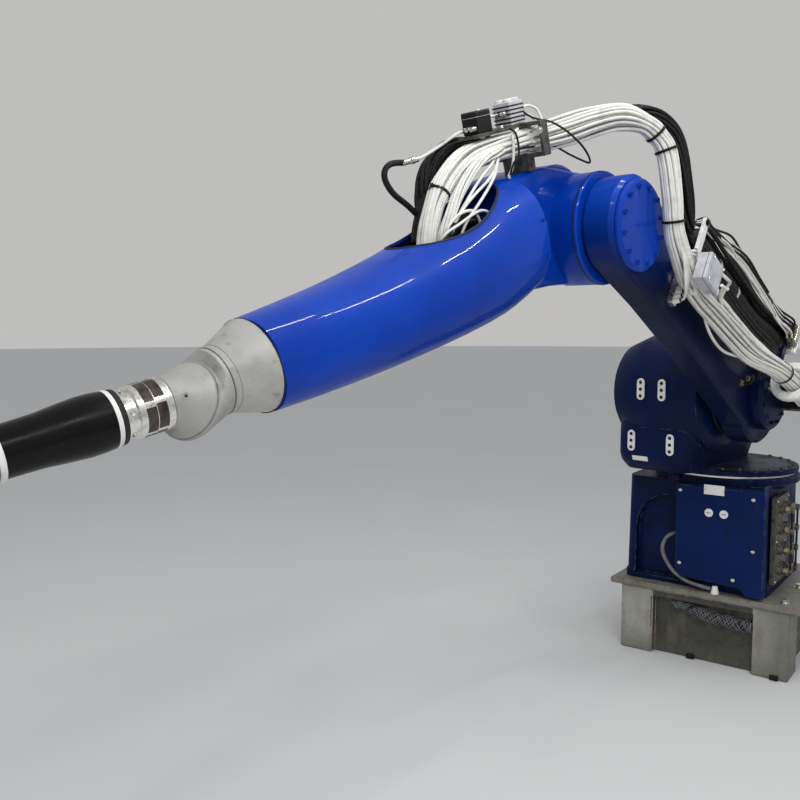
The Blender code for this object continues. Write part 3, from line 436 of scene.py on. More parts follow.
# %% Plates, blocks and tool pieces
ACCESS_PLATES = ["access_plate_" + tag for tag in "abcd"]
FITTED = [("turret", 0.0015, [(name, WHITE_PLASTIC) for name in ACCESS_PLATES]),
          ("lower_arm", 0.0012, [("valve_box", GREY_PAINT), ("hose_manifold_bar", STEEL),
                                 ("sheath_post", WHITE_PLASTIC), ("hose_guide_ring", WHITE_PLASTIC),
                                 ("hose_end_block", BLACK_PLASTIC)]),
          ("upper_arm", 0.0012, [("hose_bracket", DARK_STEEL), ("valve_block_black", BLACK_PLASTIC),
                                 ("valve_block_silver", GREY_PAINT)]),
          ("tool", 0.0006, [("tool_flange_ring", STEEL), ("tool_collar", BLACK_RUBBER),
                            ("tool_band_rear", WHITE_PLASTIC), ("tool_body", TOOL_BLACK),
                            ("tool_band_front", WHITE_PLASTIC), ("tool_nose", TOOL_BLACK),
                            ("bell_cup", STEEL)]),
          ("base", 0.0012, [("box_plug_1", WHITE_PLASTIC), ("box_plug_2", WHITE_PLASTIC),
                            ("hose_fitting", WHITE_PLASTIC), ("side_connector_panel", DARK_STEEL)])]
for body, soft, rows in FITTED:
    for name, finish in rows:
        dress(name, finish, body, soft)

# %% [markdown]
# The riser is one weldment, but its sunk panels are a darker colour, partly painted shade of the
# recess. Faces that lie behind the legs' faces get the second material, and a rounded bead runs where
# the plate is welded on.

# %% Riser
riser = dress("riser_frame", RISER_WHITE, "base", soft=0.004)
riser.data.materials.append(RISER_OLIVE_SHADED)
low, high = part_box("riser_frame")
LEG = 0.138                   # width of a leg, from the corner of the riser
bm = bmesh.new()
bm.from_mesh(riser.data)
for side in (low.y + LEG, high.y - LEG):
    bmesh.ops.bisect_plane(bm, geom=bm.verts[:] + bm.edges[:] + bm.faces[:], plane_co=(0, side, 0),
                           plane_no=(0, 1, 0))
for face in bm.faces:
    x, y, z = face.calc_center_median()
    sunk = min(high.x - x, x - low.x, high.y - y, y - low.y)
    between = abs(y) < high.y - LEG and z > 0.02
    if 0.001 < z < high.z - 0.001 and (sunk > 0.012 or between):
        face.material_index = 1
bm.to_mesh(riser.data)
bm.free()
dress("riser_top_plate", RISER_PLATE, "base", soft=0.003)
print("riser faces painted olive", sum(face.material_index for face in riser.data.polygons))

# %% [markdown]
# Hoses and tubes are curves with a round section, because a curve keeps a tube's width whatever its
# bends do. A handful of points per route is enough: a smooth cubic eases through them. The curve is
# then made a mesh. Plain routes are typed in millimetres, because that is how a drawing gives them.

# %% Routes and tubes
def mm(*points):
    """Points typed in millimetres, as on a drawing."""
    return [tuple(c / 1000 for c in point) for point in points]


def eased(points, steps=6):
    """A smooth curve through points, with some steps in each stretch."""
    ends = [Vector(point) for point in (points[0], *points, points[-1])]
    route = []
    for a, b, c, d in zip(ends, ends[1:], ends[2:], ends[3:]):
        for i in range(steps):
            t = i / steps
            route.append(0.5 * (2 * b + (c - a) * t + (2 * a - 5 * b + 4 * c - d) * t * t
                                + (3 * b - a - 3 * c + d) * t ** 3))
    return route + [Vector(points[-1])]


def tubes(name, routes, radius, finish, body, sides=2, swell=None):
    """Round tubes along one or more routes, as one mesh. Swell gives a share of the radius at a point."""
    curve = bpy.data.curves.new(name, "CURVE")
    curve.dimensions = "3D"
    curve.bevel_depth = radius
    curve.bevel_resolution = sides
    curve.use_fill_caps = True
    for route in routes:
        line = curve.splines.new("POLY")
        line.points.add(len(route) - 1)
        for i, (point, place) in enumerate(zip(line.points, route)):
            point.co = (*place, 1.0)
            point.radius = swell(i) if swell else 1.0
    maker = shown(name + "_maker", curve)
    mesh = bpy.data.meshes.new_from_object(maker)
    bpy.data.objects.remove(maker)
    bm = bmesh.new()
    bm.from_mesh(mesh)
    bmesh.ops.remove_doubles(bm, verts=bm.verts, dist=0.000001)
    bmesh.ops.recalc_face_normals(bm, faces=bm.faces)
    return piece(name, bm, finish, body, round_angle=50.0)


def placed(where, points):
    return [where @ Vector(point) for point in points]


def laid(where, points, steps=6):
    """A smooth curve through points of a frame."""
    return eased(placed(where, points), steps)


# %% [markdown]
# The white bundle is 35 tubes that run together from a block near the shoulder, through the
# guide ring, over the elbow and down into the cover. One fat hose would be simpler, but the separate
# tubes are what the eye sees first. They share one long route. Each keeps its own place across the
# bundle, wanders a little, and spreads into a flat fan on the side of the lower arm.

# %% Route of the white bundle
RUN_SIDE = 0.2986             # middle of the bundle, out from the arm's middle plane
BUNDLE_LOWER = [(-0.0735, 0.3673, 0.031), (-0.01, 0.3673, 0.031), (0.075, 0.3683, 0.028),
                (0.2, 0.3533, 0.018), (0.34, RUN_SIDE + 0.018, 0.006), (0.5, RUN_SIDE + 0.002, 0.004),
                (0.66, RUN_SIDE, -0.004), (0.78, RUN_SIDE, -0.013), (0.85, RUN_SIDE, -0.015)]
BUNDLE_LOOP = [(-0.2955, RUN_SIDE, -0.015), (-0.255, RUN_SIDE, -0.014), (-0.2, RUN_SIDE + 0.003, -0.002),
               (-0.105, RUN_SIDE + 0.003, 0.042), (-0.038, RUN_SIDE + 0.003, 0.119),
               (0.04, RUN_SIDE - 0.008, 0.218), (0.088, 0.272, 0.252), (0.14, 0.245, 0.262),
               (0.197, 0.2, 0.246), (0.24, 0.14, 0.204), (0.283, 0.086, 0.15),
               (0.3255, 0.046, 0.101), (0.3632, 0.034, 0.061)]
BUNDLE_UPPER = mm((213, 32, 306), (262, 19, 306), (332, 4, 306), (450, 0, 298), (540, 0, 262),
                  (600, 0, 217), (645, 0, 160), (668, 0, 112))


def past_elbow(points):
    """Points measured from the elbow, in the lower arm's frame."""
    return [(lower_reach + along, side, up) for along, side, up in points]


lower_part = placed(LOWER, BUNDLE_LOWER)
loop_part = placed(LOWER, past_elbow(BUNDLE_LOOP))
upper_part = placed(UPPER, BUNDLE_UPPER)
white_route = eased(lower_part + loop_part + upper_part)
print("white bundle", round(sum((b - a).length for a, b in zip(white_route, white_route[1:])), 2), "m")


# %% Strands beside a route
def sides_along(route, up):
    """At each point of a route, the two directions across it, carried along without a twist."""
    across = []
    last = len(route) - 1
    for i in range(len(route)):
        ahead = (route[min(i + 1, last)] - route[max(i - 1, 0)]).normalized()
        up = (up - ahead * up.dot(ahead)).normalized()
        across.append((ahead.cross(up), up))
    return across


def strands(route, seats, start_up, twist, loose, shape=None):
    """One route for each (radius, angle) seat across the bundle."""
    across = sides_along(route, start_up)
    made = []
    for number, (radius, angle) in enumerate(seats):
        line = []
        for i, (point, (side, up)) in enumerate(zip(route, across)):
            wide, tall = shape(i) if shape else (1.0, 1.0)
            wander = noise.noise_vector(Vector((number * 5.3, i * 0.045, 1.7)))
            turn = angle + twist * i / len(route) + 0.3 * wander.x
            reach = radius + loose * wander.y
            line.append(point + side * (wide * reach * math.cos(turn)) + up * (tall * reach * math.sin(turn)))
        made.append(line)
    return made


def ring_of_seats(radius, count, turn=0.0):
    return [(radius, turn + math.tau * i / count) for i in range(count)]


# %% White bundle
FIRST_SPLIT = 6 * len(BUNDLE_LOWER)
SECOND_SPLIT = FIRST_SPLIT + 6 * len(BUNDLE_LOOP)
TUBE = 0.0049                 # radius of a tube of the bundle
THIN_TUBE = 0.0042            # and of the single air tubes
CABLE = 0.0064                # and of a cable of the black loop


def shaped(table):
    """Reads a table of (point on the route, share of the width, share of the height) with soft steps."""
    def share(i):
        for (start, wide, tall), (end, next_wide, next_tall) in zip(table, table[1:]):
            if start <= i <= end:
                t = (i - start) / (end - start)
                t = t * t * (3 - 2 * t)
                return wide + (next_wide - wide) * t, tall + (next_tall - tall) * t
        return table[-1][1:]
    return share


# Flat on the side of the lower arm, tight at each tie, and loose on top of the loop
fan = shaped([(0, 1.0, 0.9), (12, 1.0, 1.0), (18, 0.98, 0.98), (28, 1.65, 0.72), (40, 1.7, 0.7),
              (50, 1.45, 0.85), (58, 1.25, 0.95), (64, 1.0, 0.92), (70, 0.88, 0.88), (74, 0.8, 0.8),
              (80, 0.82, 0.82), (86, 0.82, 0.82), (89, 0.78, 0.78), (92, 0.84, 0.84), (95, 0.78, 0.78),
              (102, 1.1, 1.15), (112, 1.38, 1.3), (124, 1.22, 1.15), (132, 0.96, 0.92), (146, 1.04, 1.02),
              (158, 0.86, 0.86), (164, 0.7, 0.7), (172, 0.74, 0.74), (180, 0.8, 0.8)])
white_seats = ring_of_seats(0.01, 5) + ring_of_seats(0.0206, 12, 0.2) + ring_of_seats(0.0308, 18)
white_lines = strands(white_route, white_seats, outward, 2.2, 0.0044, fan)
lower_bundle = tubes("lower_white_tubes", [line[:FIRST_SPLIT + 1] for line in white_lines], TUBE,
                     WHITE_TUBE, "lower_arm")
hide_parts("lower_hose_bundle")
upper_bundle = tubes("upper_white_tubes", [line[SECOND_SPLIT:] for line in white_lines], TUBE,
                     WHITE_TUBE, "upper_arm")
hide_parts("upper_hose_bundle")
white_loop = tubes("elbow_white_tubes", [line[FIRST_SPLIT:SECOND_SPLIT + 1] for line in white_lines], TUBE,
                   WHITE_TUBE, None)
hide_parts("elbow_loop_white")
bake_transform(white_loop)

# %% [markdown]
# Behind it runs a black loop of electric cables. It leaves a thick sleeve on the lower arm, arches
# higher than the white one, and drops into the cover as well. The cables differ in thickness, but here
# they all share one radius, and the loop is made in two goes: over the elbow and on the upper arm.

# %% Black loop
SHEATH_SIDE = 0.215
SHEATH_UP = 0.1923
BLACK_LOOP = [(-0.3315, SHEATH_SIDE, SHEATH_UP), (-0.3, SHEATH_SIDE, SHEATH_UP + 0.01),
              (-0.262, 0.216, 0.234), (-0.214, 0.218, 0.286), (-0.15, 0.21, 0.366),
              (-0.082, 0.188, 0.422), (0.008, 0.15, 0.418), (0.112, 0.092, 0.326), (0.18, 0.035, 0.252),
              (0.25, -0.02, 0.176), (0.312, -0.055, 0.108), (0.3589, -0.065, 0.057)]
BLACK_UPPER = mm((209, -65, 300), (300, -70, 300), (400, -75, 286), (486, -76, 254), (555, -72, 206),
                 (604, -66, 150), (625, -62, 112))

black_route = eased(placed(LOWER, past_elbow(BLACK_LOOP)) + placed(UPPER, BLACK_UPPER))
BLACK_SPLIT = 6 * len(BLACK_LOOP)
black_seats = ring_of_seats(0.0, 1) + ring_of_seats(0.012, 5) + ring_of_seats(0.0235, 11, 0.3)
black_shape = shaped([(0, 1.6, 1.1), (12, 2.0, 1.2), (24, 1.4, 1.1), (36, 1.15, 1.1), (60, 0.95, 0.95),
                      (84, 0.85, 0.85)])
black_lines = strands(black_route, black_seats, outward, 5.0, 0.0034, black_shape)
black_loop = tubes("elbow_black_cables", [line[:BLACK_SPLIT + 1] for line in black_lines], CABLE,
                   BLACK_CABLE, None)
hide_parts("elbow_loop_black")
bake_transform(black_loop)
upper_cables = tubes("upper_black_cables", [line[BLACK_SPLIT:] for line in black_lines], CABLE,
                     BLACK_CABLE, "upper_arm")
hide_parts("upper_black_hose")

# %% [markdown]
# On the lower arm the cables are wrapped in a ribbed sleeve. The ribs are the sleeve's own rings: the
# curve's radius rises and falls from point to point, and a slow noise makes the lumps of the cables
# under it.

# %% Ribbed sleeve on the lower arm
SLEEVE = [(0.815, SHEATH_SIDE, SHEATH_UP), (0.6, SHEATH_SIDE, SHEATH_UP), (0.42, SHEATH_SIDE, SHEATH_UP),
          (0.3, SHEATH_SIDE, SHEATH_UP + 0.003), (0.2, SHEATH_SIDE, SHEATH_UP + 0.014),
          (0.1, SHEATH_SIDE, SHEATH_UP + 0.037), (0.025, SHEATH_SIDE, SHEATH_UP + 0.052),
          (-0.005, SHEATH_SIDE, SHEATH_UP + 0.052), (-0.03, SHEATH_SIDE, SHEATH_UP + 0.052)]


def ribs(i):
    """Rings from point to point, and slow lumps."""
    lump = noise.noise(Vector((i * 0.06, 3.1, 0.0)))
    return 0.965 + 0.035 * math.cos(math.pi * i) * 0.6 + 0.04 * lump


sleeve = tubes("lower_ribbed_sleeve", [laid(LOWER, SLEEVE, 26)], 0.042, BLACK_CABLE, "lower_arm",
               sides=8, swell=ribs)
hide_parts("lower_black_sheath")

# %% [markdown]
# Small parts repeat: a screw head, a fitting or a clamp is modelled once along X, and stamped wherever
# a drawing would show it. Turned parts are spun: an outline of (along, radius) points goes once round
# the axis, as the bar does in a lathe.

# %% Turned parts and stamps
def turned(profile, steps=20, closed=False):
    """Spins an (along, radius) outline round X. A closed outline makes a ring."""
    bm = bmesh.new()
    line = [bm.verts.new((along, radius, 0.0)) for along, radius in profile]
    pairs = list(zip(line, line[1:])) + ([(line[-1], line[0])] if closed else [])
    edges = [bm.edges.new(pair) for pair in pairs]
    bmesh.ops.spin(bm, geom=line + edges, cent=(0, 0, 0), axis=(1, 0, 0), angle=math.tau, steps=steps,
                   use_merge=True)
    bmesh.ops.remove_doubles(bm, verts=bm.verts, dist=0.000001)
    bmesh.ops.recalc_face_normals(bm, faces=bm.faces)
    return bm


def block(low, high, soft=0.001):
    """A box between two corners with soft edges."""
    bm = bmesh.new()
    bmesh.ops.create_cube(bm, size=1.0)
    size = Vector(high) - Vector(low)
    bm.transform(Matrix.Translation((Vector(high) + Vector(low)) / 2) @ Matrix.Diagonal((*size, 1.0)))
    bmesh.ops.bevel(bm, geom=bm.edges[:], offset=soft, segments=2, profile=0.5, affect="EDGES",
                    clamp_overlap=True, material=-1)
    return bm


def box_piece(name, where, low, high, soft, finish, body):
    """A box with soft edges in a frame, as a piece of its own."""
    bm = block(low, high, soft)
    bm.transform(where)
    return piece(name, bm, finish, body)


def stamp(target, shape, spots):
    """Adds a copy of a shape to a bmesh at each matrix."""
    mesh = bpy.data.meshes.new("stamp")
    shape.to_mesh(mesh)
    for spot in spots:
        copy = mesh.copy()
        copy.transform(spot)
        target.from_mesh(copy)
        bpy.data.meshes.remove(copy)
    bpy.data.meshes.remove(mesh)


def stamped(name, shape, spots, finish, body):
    """One piece that holds a shape at every spot."""
    bm = bmesh.new()
    stamp(bm, shape, spots)
    return piece(name, bm, finish, body)


def facing(where, place, direction=Y):
    """A spot in a joint's frame whose X points in a direction."""
    turn = Vector((1, 0, 0)).rotation_difference(Vector(direction)).to_matrix().to_4x4()
    return where @ Matrix.Translation(place) @ turn


def round_about(where, centre, radius, angles, direction=Y):
    """Spots on a circle round a centre, for bolts on a flange. Angles are in degrees."""
    turn = Vector((1, 0, 0)).rotation_difference(Vector(direction)).to_matrix()
    spots = []
    for angle in angles:
        a = math.radians(angle)
        spot = Vector(centre) + turn @ Vector((0.0, radius * math.cos(a), radius * math.sin(a)))
        spots.append(facing(where, spot, direction))
    return spots


# %% [markdown]
# Socket screws hold the caps. The head is a short cylinder with a chamfered rim and a sunk hexagon.
# An inset of the top face leaves the rim, and pushing the inner face down leaves the socket.

# %% Screw heads
def socket_head(radius, tall):
    """A cylinder head with a chamfered rim and a sunk socket."""
    bm = bmesh.new()
    bmesh.ops.create_cone(bm, cap_ends=True, segments=12, radius1=radius, radius2=radius, depth=tall)
    bm.transform(Matrix.Rotation(math.pi / 2, 4, "Y") @ Matrix.Translation((0, 0, tall / 2)))
    top = max(bm.faces, key=lambda face: face.calc_center_median().x)
    bmesh.ops.bevel(bm, geom=top.edges[:], offset=0.12 * radius, segments=1, profile=0.5, affect="EDGES",
                    material=-1)
    top = max(bm.faces, key=lambda face: face.calc_center_median().x)
    bmesh.ops.inset_region(bm, faces=[top], thickness=0.32 * radius)
    bmesh.ops.translate(bm, verts=top.verts, vec=(-0.5 * tall, 0, 0))
    return bm


def hex_head(radius, tall):
    """A hexagon head on its washer."""
    bm = bmesh.new()
    bmesh.ops.create_cone(bm, cap_ends=True, segments=6, radius1=radius, radius2=radius, depth=tall)
    bm.transform(Matrix.Rotation(math.pi / 2, 4, "Y") @ Matrix.Translation((0, 0, tall / 2 + 0.15 * tall)))
    bmesh.ops.bevel(bm, geom=bm.edges[:], offset=0.08 * radius, segments=1, profile=0.5, affect="EDGES",
                    material=-1)
    washer = turned([(0, 0), (0, 1.35 * radius), (0.15 * tall, 1.35 * radius), (0.15 * tall, 0)], 16)
    stamp(bm, washer, [Matrix()])
    return bm


ELBOW = Matrix.Translation(Vector((lower_reach, 0, 0)))
CAP_SCREW = socket_head(0.0072, 0.007)
SMALL_SCREW = socket_head(0.0048, 0.004)
every_30 = range(15, 375, 30)
stamped("elbow_cap_screws", CAP_SCREW,
        round_about(LOWER @ ELBOW, (0, 0.2575, 0), 0.114, every_30), BLUE_GLOSS, "lower_arm")
stamped("shoulder_cap_screws", CAP_SCREW,
        round_about(LOWER, (0, 0.2895, 0), 0.102, every_30), BLUE_CASTING, "lower_arm")
stamped("turntable_screws", CAP_SCREW,
        round_about(TURRET, (0, 0, -0.3095), 0.263, range(-70, 71, 14), Z), DARK_STEEL, "turret")
stamped("cover_edge_screws", SMALL_SCREW,
        [facing(UPPER, (0.346, side, up), (0, math.copysign(1, side), 0.0))
         for side, up in ((0.1505, 0.1), (0.1505, 0.0), (-0.1505, 0.1), (-0.1505, 0.0))],
        BLUE_GLOSS, "upper_arm")
stamped("box_screws", CAP_SCREW,
        [facing(GROUND, (0.2975, side, up), X)
         for side, up in ((0.197, 0.498), (0.193, 0.704), (0.125, 0.373), (-0.094, 0.712), (-0.09, 0.41))],
        STEEL, "base")
stamped("riser_bolts", hex_head(0.015, 0.014),
        [facing(GROUND, (x, y, 0.3005), Z)
         for x, y in ((0.245, 0.31), (0.0, 0.31), (-0.245, 0.31), (-0.35, 0.15), (-0.35, -0.2))],
        STEEL, "base")

# %% [markdown]
# The white access plates have three sockets each, where a screw or a grease nipple sits deep in a
# counterbore. A dark dished disc stands for that hole as painted shade of the counterbore, with a thin
# lip around it.

# %% Sockets in the access plates
# Painted shade: the black discs stand for the shade deep in each counterbore.
hole_shade_disc = turned([(0, 0), (0, 0.007), (0.0009, 0.0066), (0.0009, 0.0052), (-0.0004, 0.004), (-0.0004, 0)], 16)
plate_spots = []
for name in ACCESS_PLATES:
    low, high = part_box(name)
    middle = TURRET.inverted() @ ((low + high) / 2)
    for up in (-0.027, 0.0, 0.027):
        plate_spots.append(facing(TURRET, middle + Vector((0.0032, 0, up)), X))
stamped("access_plate_sockets", hole_shade_disc, plate_spots, BLACK_RUBBER, "turret")

# %% [markdown]
# Rubber lips and seals draw the dark lines between the castings: at the front edge of the cover, in
# the gap under the turntable, round the hubs, and as a fine double groove at the first wrist joint.

# %% Seals and grooves
def seal(name, where, centre, direction, along, radius, finish, body):
    """A flat ring round an axis."""
    start, end = along
    ring = turned([(start, radius - 0.01), (start, radius), (end, radius), (end, radius - 0.01)], 48, True)
    return stamped(name, ring, [facing(where, centre, direction)], finish, body)


SEALS = [("cover_front_lip", UPPER, (1.3004, 0, -0.001), X, (0.0, 0.0035), 0.1094, BLACK_RUBBER, "upper_arm"),
         ("roll_face_groove", UPPER, (1.4045, 0, 0), X, (0.0, 0.0016), 0.0757, GREY_HOSE, "upper_arm"),
         ("cone_groove", UPPER, (1.3895, 0, 0), X, (0.0, 0.001), 0.0772, GREY_HOSE, "upper_arm"),
         ("turntable_seal", GROUND, (0, 0, 0.7723), Z, (0.0, 0.0072), 0.274, STEEL, "base"),
         ("shoulder_seal", TURRET, (0.263, 0.1105, 0), Y, (0.0, 0.0075), 0.16, BLACK_RUBBER, "turret"),
         ("elbow_seal", UPPER, (0, 0.12, 0), Y, (0.0, 0.004), 0.1729, BLACK_RUBBER, "upper_arm")]
for row in SEALS:
    seal(*row)

# %% [markdown]
# The tool's steel ring has windows milled in two rows, so the sensors inside can see its teeth. Each
# dark window is part of a thin shell: a small rectangle spun through a few degrees of the circle.

# %% Windows in the tool ring
def arc_plate(start, end, inner, outer, degrees, steps=5):
    """A rectangle of (along, radius) spun through an angle: a curved plate."""
    bm = bmesh.new()
    corners = ((start, inner), (end, inner), (end, outer), (start, outer))
    face = bm.faces.new([bm.verts.new((along, radius, 0.0)) for along, radius in corners])
    bmesh.ops.spin(bm, geom=[face], cent=(0, 0, 0), axis=(1, 0, 0), angle=math.radians(degrees), steps=steps,
                   use_merge=False)
    bmesh.ops.recalc_face_normals(bm, faces=bm.faces)
    return bm


window = arc_plate(0.0, 0.021, 0.0535, 0.055, 59, 10)
rear_row = [TOOL @ Matrix.Rotation(math.radians(72 * i + 29), 4, "X") @ Matrix.Translation((0.0715, 0, 0))
            for i in range(5)]
front_row = [TOOL @ Matrix.Rotation(math.radians(72 * i + 24), 4, "X") @ Matrix.Translation((0.0945, 0, 0))
             for i in range(5)]
stamped("ring_windows", window, rear_row + front_row, SMOKED, "tool")
stamped("ring_screws", SMALL_SCREW,
        [TOOL @ Matrix.Rotation(math.radians(60 * i + 12), 4, "X")
         @ facing(Matrix(), (0.142, 0.0498, 0), Y) for i in range(6)], STEEL, "tool")
wrist_axis = Vector((0.461, 0.869, 0.181))
stamped("wrist_screw", turned([(0, 0), (0, 0.008), (0.0012, 0.0076), (0.0012, 0.005), (0.0002, 0.004),
                               (0.0002, 0)], 20),
        [facing(GROUND, (2.6938, -0.2805, 1.2527), wrist_axis)], CASTING, "wrist_bend")
# Painted shade: a black disc stands for the shade inside the screw's socket.
stamped("wrist_screw_socket", turned([(0, 0), (0, 0.003), (0.0008, 0.003), (0.0008, 0)], 12),
        [facing(GROUND, (2.6938, -0.2805, 1.2527), wrist_axis)], BLACK_RUBBER, "wrist_bend")

# %% White ring near the tool's front
def girth(name, where, start, end):
    """The largest radius of a CAD node round a frame's X, between two places along it."""
    back = where.inverted()
    spots = [back @ vert.co for vert in nodes[name].data.vertices]
    return max(math.hypot(spot.y, spot.z) for spot in spots if start <= spot.x <= end)


body_radius = girth("tool_body", TOOL, 0.3, 0.44)
print("tool body radius near its front", round(body_radius, 4))
RING_PLACE = 0.384
ring_profile = [(0.0, -0.006), (0.0, 0.0008), (0.001, 0.0016), (0.011, 0.0016), (0.012, 0.0008),
                (0.012, -0.006)]
front_ring = turned([(along, body_radius + out) for along, out in ring_profile], 48, True)
stamped("tool_front_ring", front_ring, [TOOL @ Matrix.Translation((RING_PLACE, 0, 0))], WHITE_PLASTIC, "tool")

# %% Inside of the bell
stamped("bell_inside", turned([(0.5835, 0.0), (0.5835, 0.0262), (0.5846, 0.027), (0.5852, 0.0272),
                               (0.5852, 0.012), (0.584, 0.0)], 40), [TOOL], BLACK_PLASTIC, "tool")

# %% [markdown]
# The mouth of the cover has a rubber edging pushed over the cut edge, because the tubes would chafe on
# it. Its line is the mouth's outline dropped onto the cover, found with rays from above.

# %% Rubber edging of the mouth
cover_tree = BVHTree.FromObject(cover, bpy.context.evaluated_depsgraph_get())
MOUTH_X, MOUTH_HALF_LONG, MOUTH_HALF_WIDE = 0.585, 0.2085, 0.1115
edge_line = []
for step in range(72):
    a = math.tau * step / 72
    above = Vector((MOUTH_X + MOUTH_HALF_LONG * math.cos(a), MOUTH_HALF_WIDE * math.sin(a), 0.4))
    spot, _, _, _ = cover_tree.ray_cast(UPPER @ above, UPPER.to_3x3() @ Vector((0, 0, -1)))
    edge_line.append(spot + UPPER.to_3x3() @ Vector((0, 0, -0.0015)))
tubes("mouth_edging", [edge_line + edge_line[:1]], 0.0042, BLACK_RUBBER, "upper_arm")

# %% [markdown]
# Ties pull the white bundle in. Each is a thin black band on the route, turned to run square to it, and
# the bundle is drawn in by its shape table where a tie sits, so the band really looks tight.

# %% Ties
def nearest(route, spot):
    return min(range(len(route)), key=lambda i: (route[i] - spot).length)


def tie(name, route, i, radius, body):
    """A flat band round a route at one of its points."""
    ahead = (route[i + 1] - route[i - 1]).normalized()
    band = turned([(-0.004, radius - 0.002), (-0.004, radius), (0.004, radius), (0.004, radius - 0.002)], 24,
                  True)
    stamp(band, block((-0.005, -0.004, radius - 0.002), (0.005, 0.004, radius + 0.006)), [Matrix()])
    return stamped(name, band, [stand(route[i], ahead, outward)], BLACK_PLASTIC, body)


for number, spot in enumerate(((1.269, 0.28, 0.206), (1.214, 0.28, 0.212), (1.072, 0.28, 0.051))):
    band = tie("loop_tie_%d" % (number + 1), white_route, nearest(white_route, LOWER @ Vector(spot)), 0.0335,
               None)
    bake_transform(band)
tie("upper_tie", white_route, nearest(white_route, UPPER @ Vector((0.583, 0.0, 0.235))), 0.031, "upper_arm")
tie("lower_tie", white_route, nearest(white_route, LOWER @ Vector((0.15, 0.36, 0.022))), 0.04, "lower_arm")

# %% [markdown]
# Clamps hold the ribbed sleeve down on its lugs; a rubber boot closes its end by the elbow and a nut
# its end by the shoulder. Beside it lie black cables in two layers, and over it a set of thin white air
# tubes bows out in a free curve to a small manifold by the shoulder.

# %% Clamps and boots of the sleeve
clamp = turned([(-0.007, 0.041), (-0.007, 0.044), (0.007, 0.044), (0.007, 0.041)], 32, True)
stamped("sleeve_clamps", clamp, [facing(LOWER, (along, SHEATH_SIDE, SHEATH_UP), X)
                                 for along in (0.4425, 0.6175, 0.7875)], STEEL, "lower_arm")
boot = turned([(0.0, 0.0), (0.0, 0.0405), (0.004, 0.044), (0.026, 0.044), (0.03, 0.04), (0.04, 0.029),
               (0.04, 0.0)], 32)
stamped("sleeve_top_boot", boot, [facing(LOWER, (0.797, SHEATH_SIDE, SHEATH_UP), X)], BLACK_RUBBER,
        "lower_arm")
gland_nut = turned([(-0.0005, 0.04), (-0.0005, 0.0475), (0.02, 0.0475), (0.024, 0.043), (0.024, 0.04)], 12,
                   True)
stamped("sleeve_gland_nut", gland_nut, [facing(LOWER, (-0.029, SHEATH_SIDE, SHEATH_UP + 0.052), X)],
        BLACK_PLASTIC, "lower_arm")

# %% Black cables beside the sleeve
cable_routes = []
for row in range(4):
    for layer in range(2):
        side = 0.25 + 0.016 * layer
        up = 0.088 + 0.018 * row + 0.008 * layer
        sway = noise.noise_vector(Vector((row * 3.7, layer * 5.1, 0.4))) * 0.006
        cable_routes.append(eased(placed(LOWER, [
            (0.85, 0.226, 0.186), (0.815, 0.2475, 0.15 + 0.004 * row), (0.76, side, up + 0.01),
            (0.62, side, up + sway.x), (0.44, side, up + sway.y), (0.26, side, up + 0.01 + sway.z),
            (0.14, side, up + 0.028), (0.05, side - 0.003, 0.15 + 0.013 * row),
            (0.0, 0.25, 0.158 + 0.014 * row), (-0.03, 0.248, 0.16 + 0.014 * row)])))
tubes("side_black_cables", cable_routes, 0.0082, BLACK_CABLE, "lower_arm")

# %% Air tubes and manifold over the sleeve
port = turned([(0, 0), (0, 0.0075), (0.01, 0.0075), (0.012, 0.0062), (0.018, 0.0062), (0.018, 0)], 12)
manifold = block((-0.0595, 0.268, 0.252), (-0.03, 0.303, 0.332), 0.0015)
stamp(manifold, block((-0.0645, 0.19, 0.215), (-0.06, 0.303, 0.304), 0.0008), [Matrix()])
manifold.transform(LOWER)
piece("shoulder_manifold", manifold, STEEL, "lower_arm")
ports = [(0.277 + 0.017 * (i % 2), 0.261 + 0.0195 * (i // 2)) for i in range(8)]
stamped("shoulder_ports", port, [facing(LOWER, (-0.03, side, up), X) for side, up in ports],
        BRASS, "lower_arm")
air_routes = []
for i, (side, up) in enumerate(ports):
    share = i / 7
    sway = noise.noise_vector(Vector((i * 2.3, 0.7, 4.1))) * 0.016
    bow = 0.284 + 0.05 * share
    air_routes.append(eased(placed(LOWER, [
        (0.842, 0.245, 0.2 + 0.004 * i), (0.8, 0.254, 0.222 + 0.006 * i),
        (0.72, 0.252 + sway.x, 0.246 + 0.03 * share + sway.y), (0.6, 0.252 + sway.y, bow - 0.014 + sway.z),
        (0.46, 0.252 - sway.z, bow + 0.006 + sway.x), (0.32, 0.254 + sway.x, bow + 0.008 - sway.y),
        (0.19, 0.258 - sway.y, bow + 0.004 + sway.x), (0.09, 0.266, bow - 0.006),
        (0.02, side, 0.5 * (bow + up)), (-0.01, side, up)])))
tubes("air_tubes", air_routes[::2] + air_routes[1:2], THIN_TUBE, WHITE_TUBE, "lower_arm")
tubes("dark_air_tubes", air_routes[3::2], THIN_TUBE, BLACK_CABLE, "lower_arm")

# %% Black cables over the sleeve
over_routes = []
for i in range(7):
    side = 0.186 + 0.012 * i
    up = 0.244 + 0.01 * (i % 2) + 0.003 * (i % 3)
    sway = noise.noise_vector(Vector((i * 4.1, 2.9, 0.8))) * 0.01
    over_routes.append(eased(placed(LOWER, [
        (0.852, 0.212 + 0.004 * i, 0.205), (0.81, side, 0.226 + 0.004 * (i % 2)), (0.74, side, up),
        (0.6, side + sway.x, up + 0.004 + sway.y), (0.44, side + sway.y, up + 0.008 + sway.z),
        (0.3, side + sway.z, up + 0.012), (0.19, side, up + 0.02), (0.1, side, 0.29),
        (0.03, side, 0.297), (-0.0598, side, 0.298)])))
tubes("over_sleeve_cables", over_routes, 0.0078, BLACK_CABLE, "lower_arm")

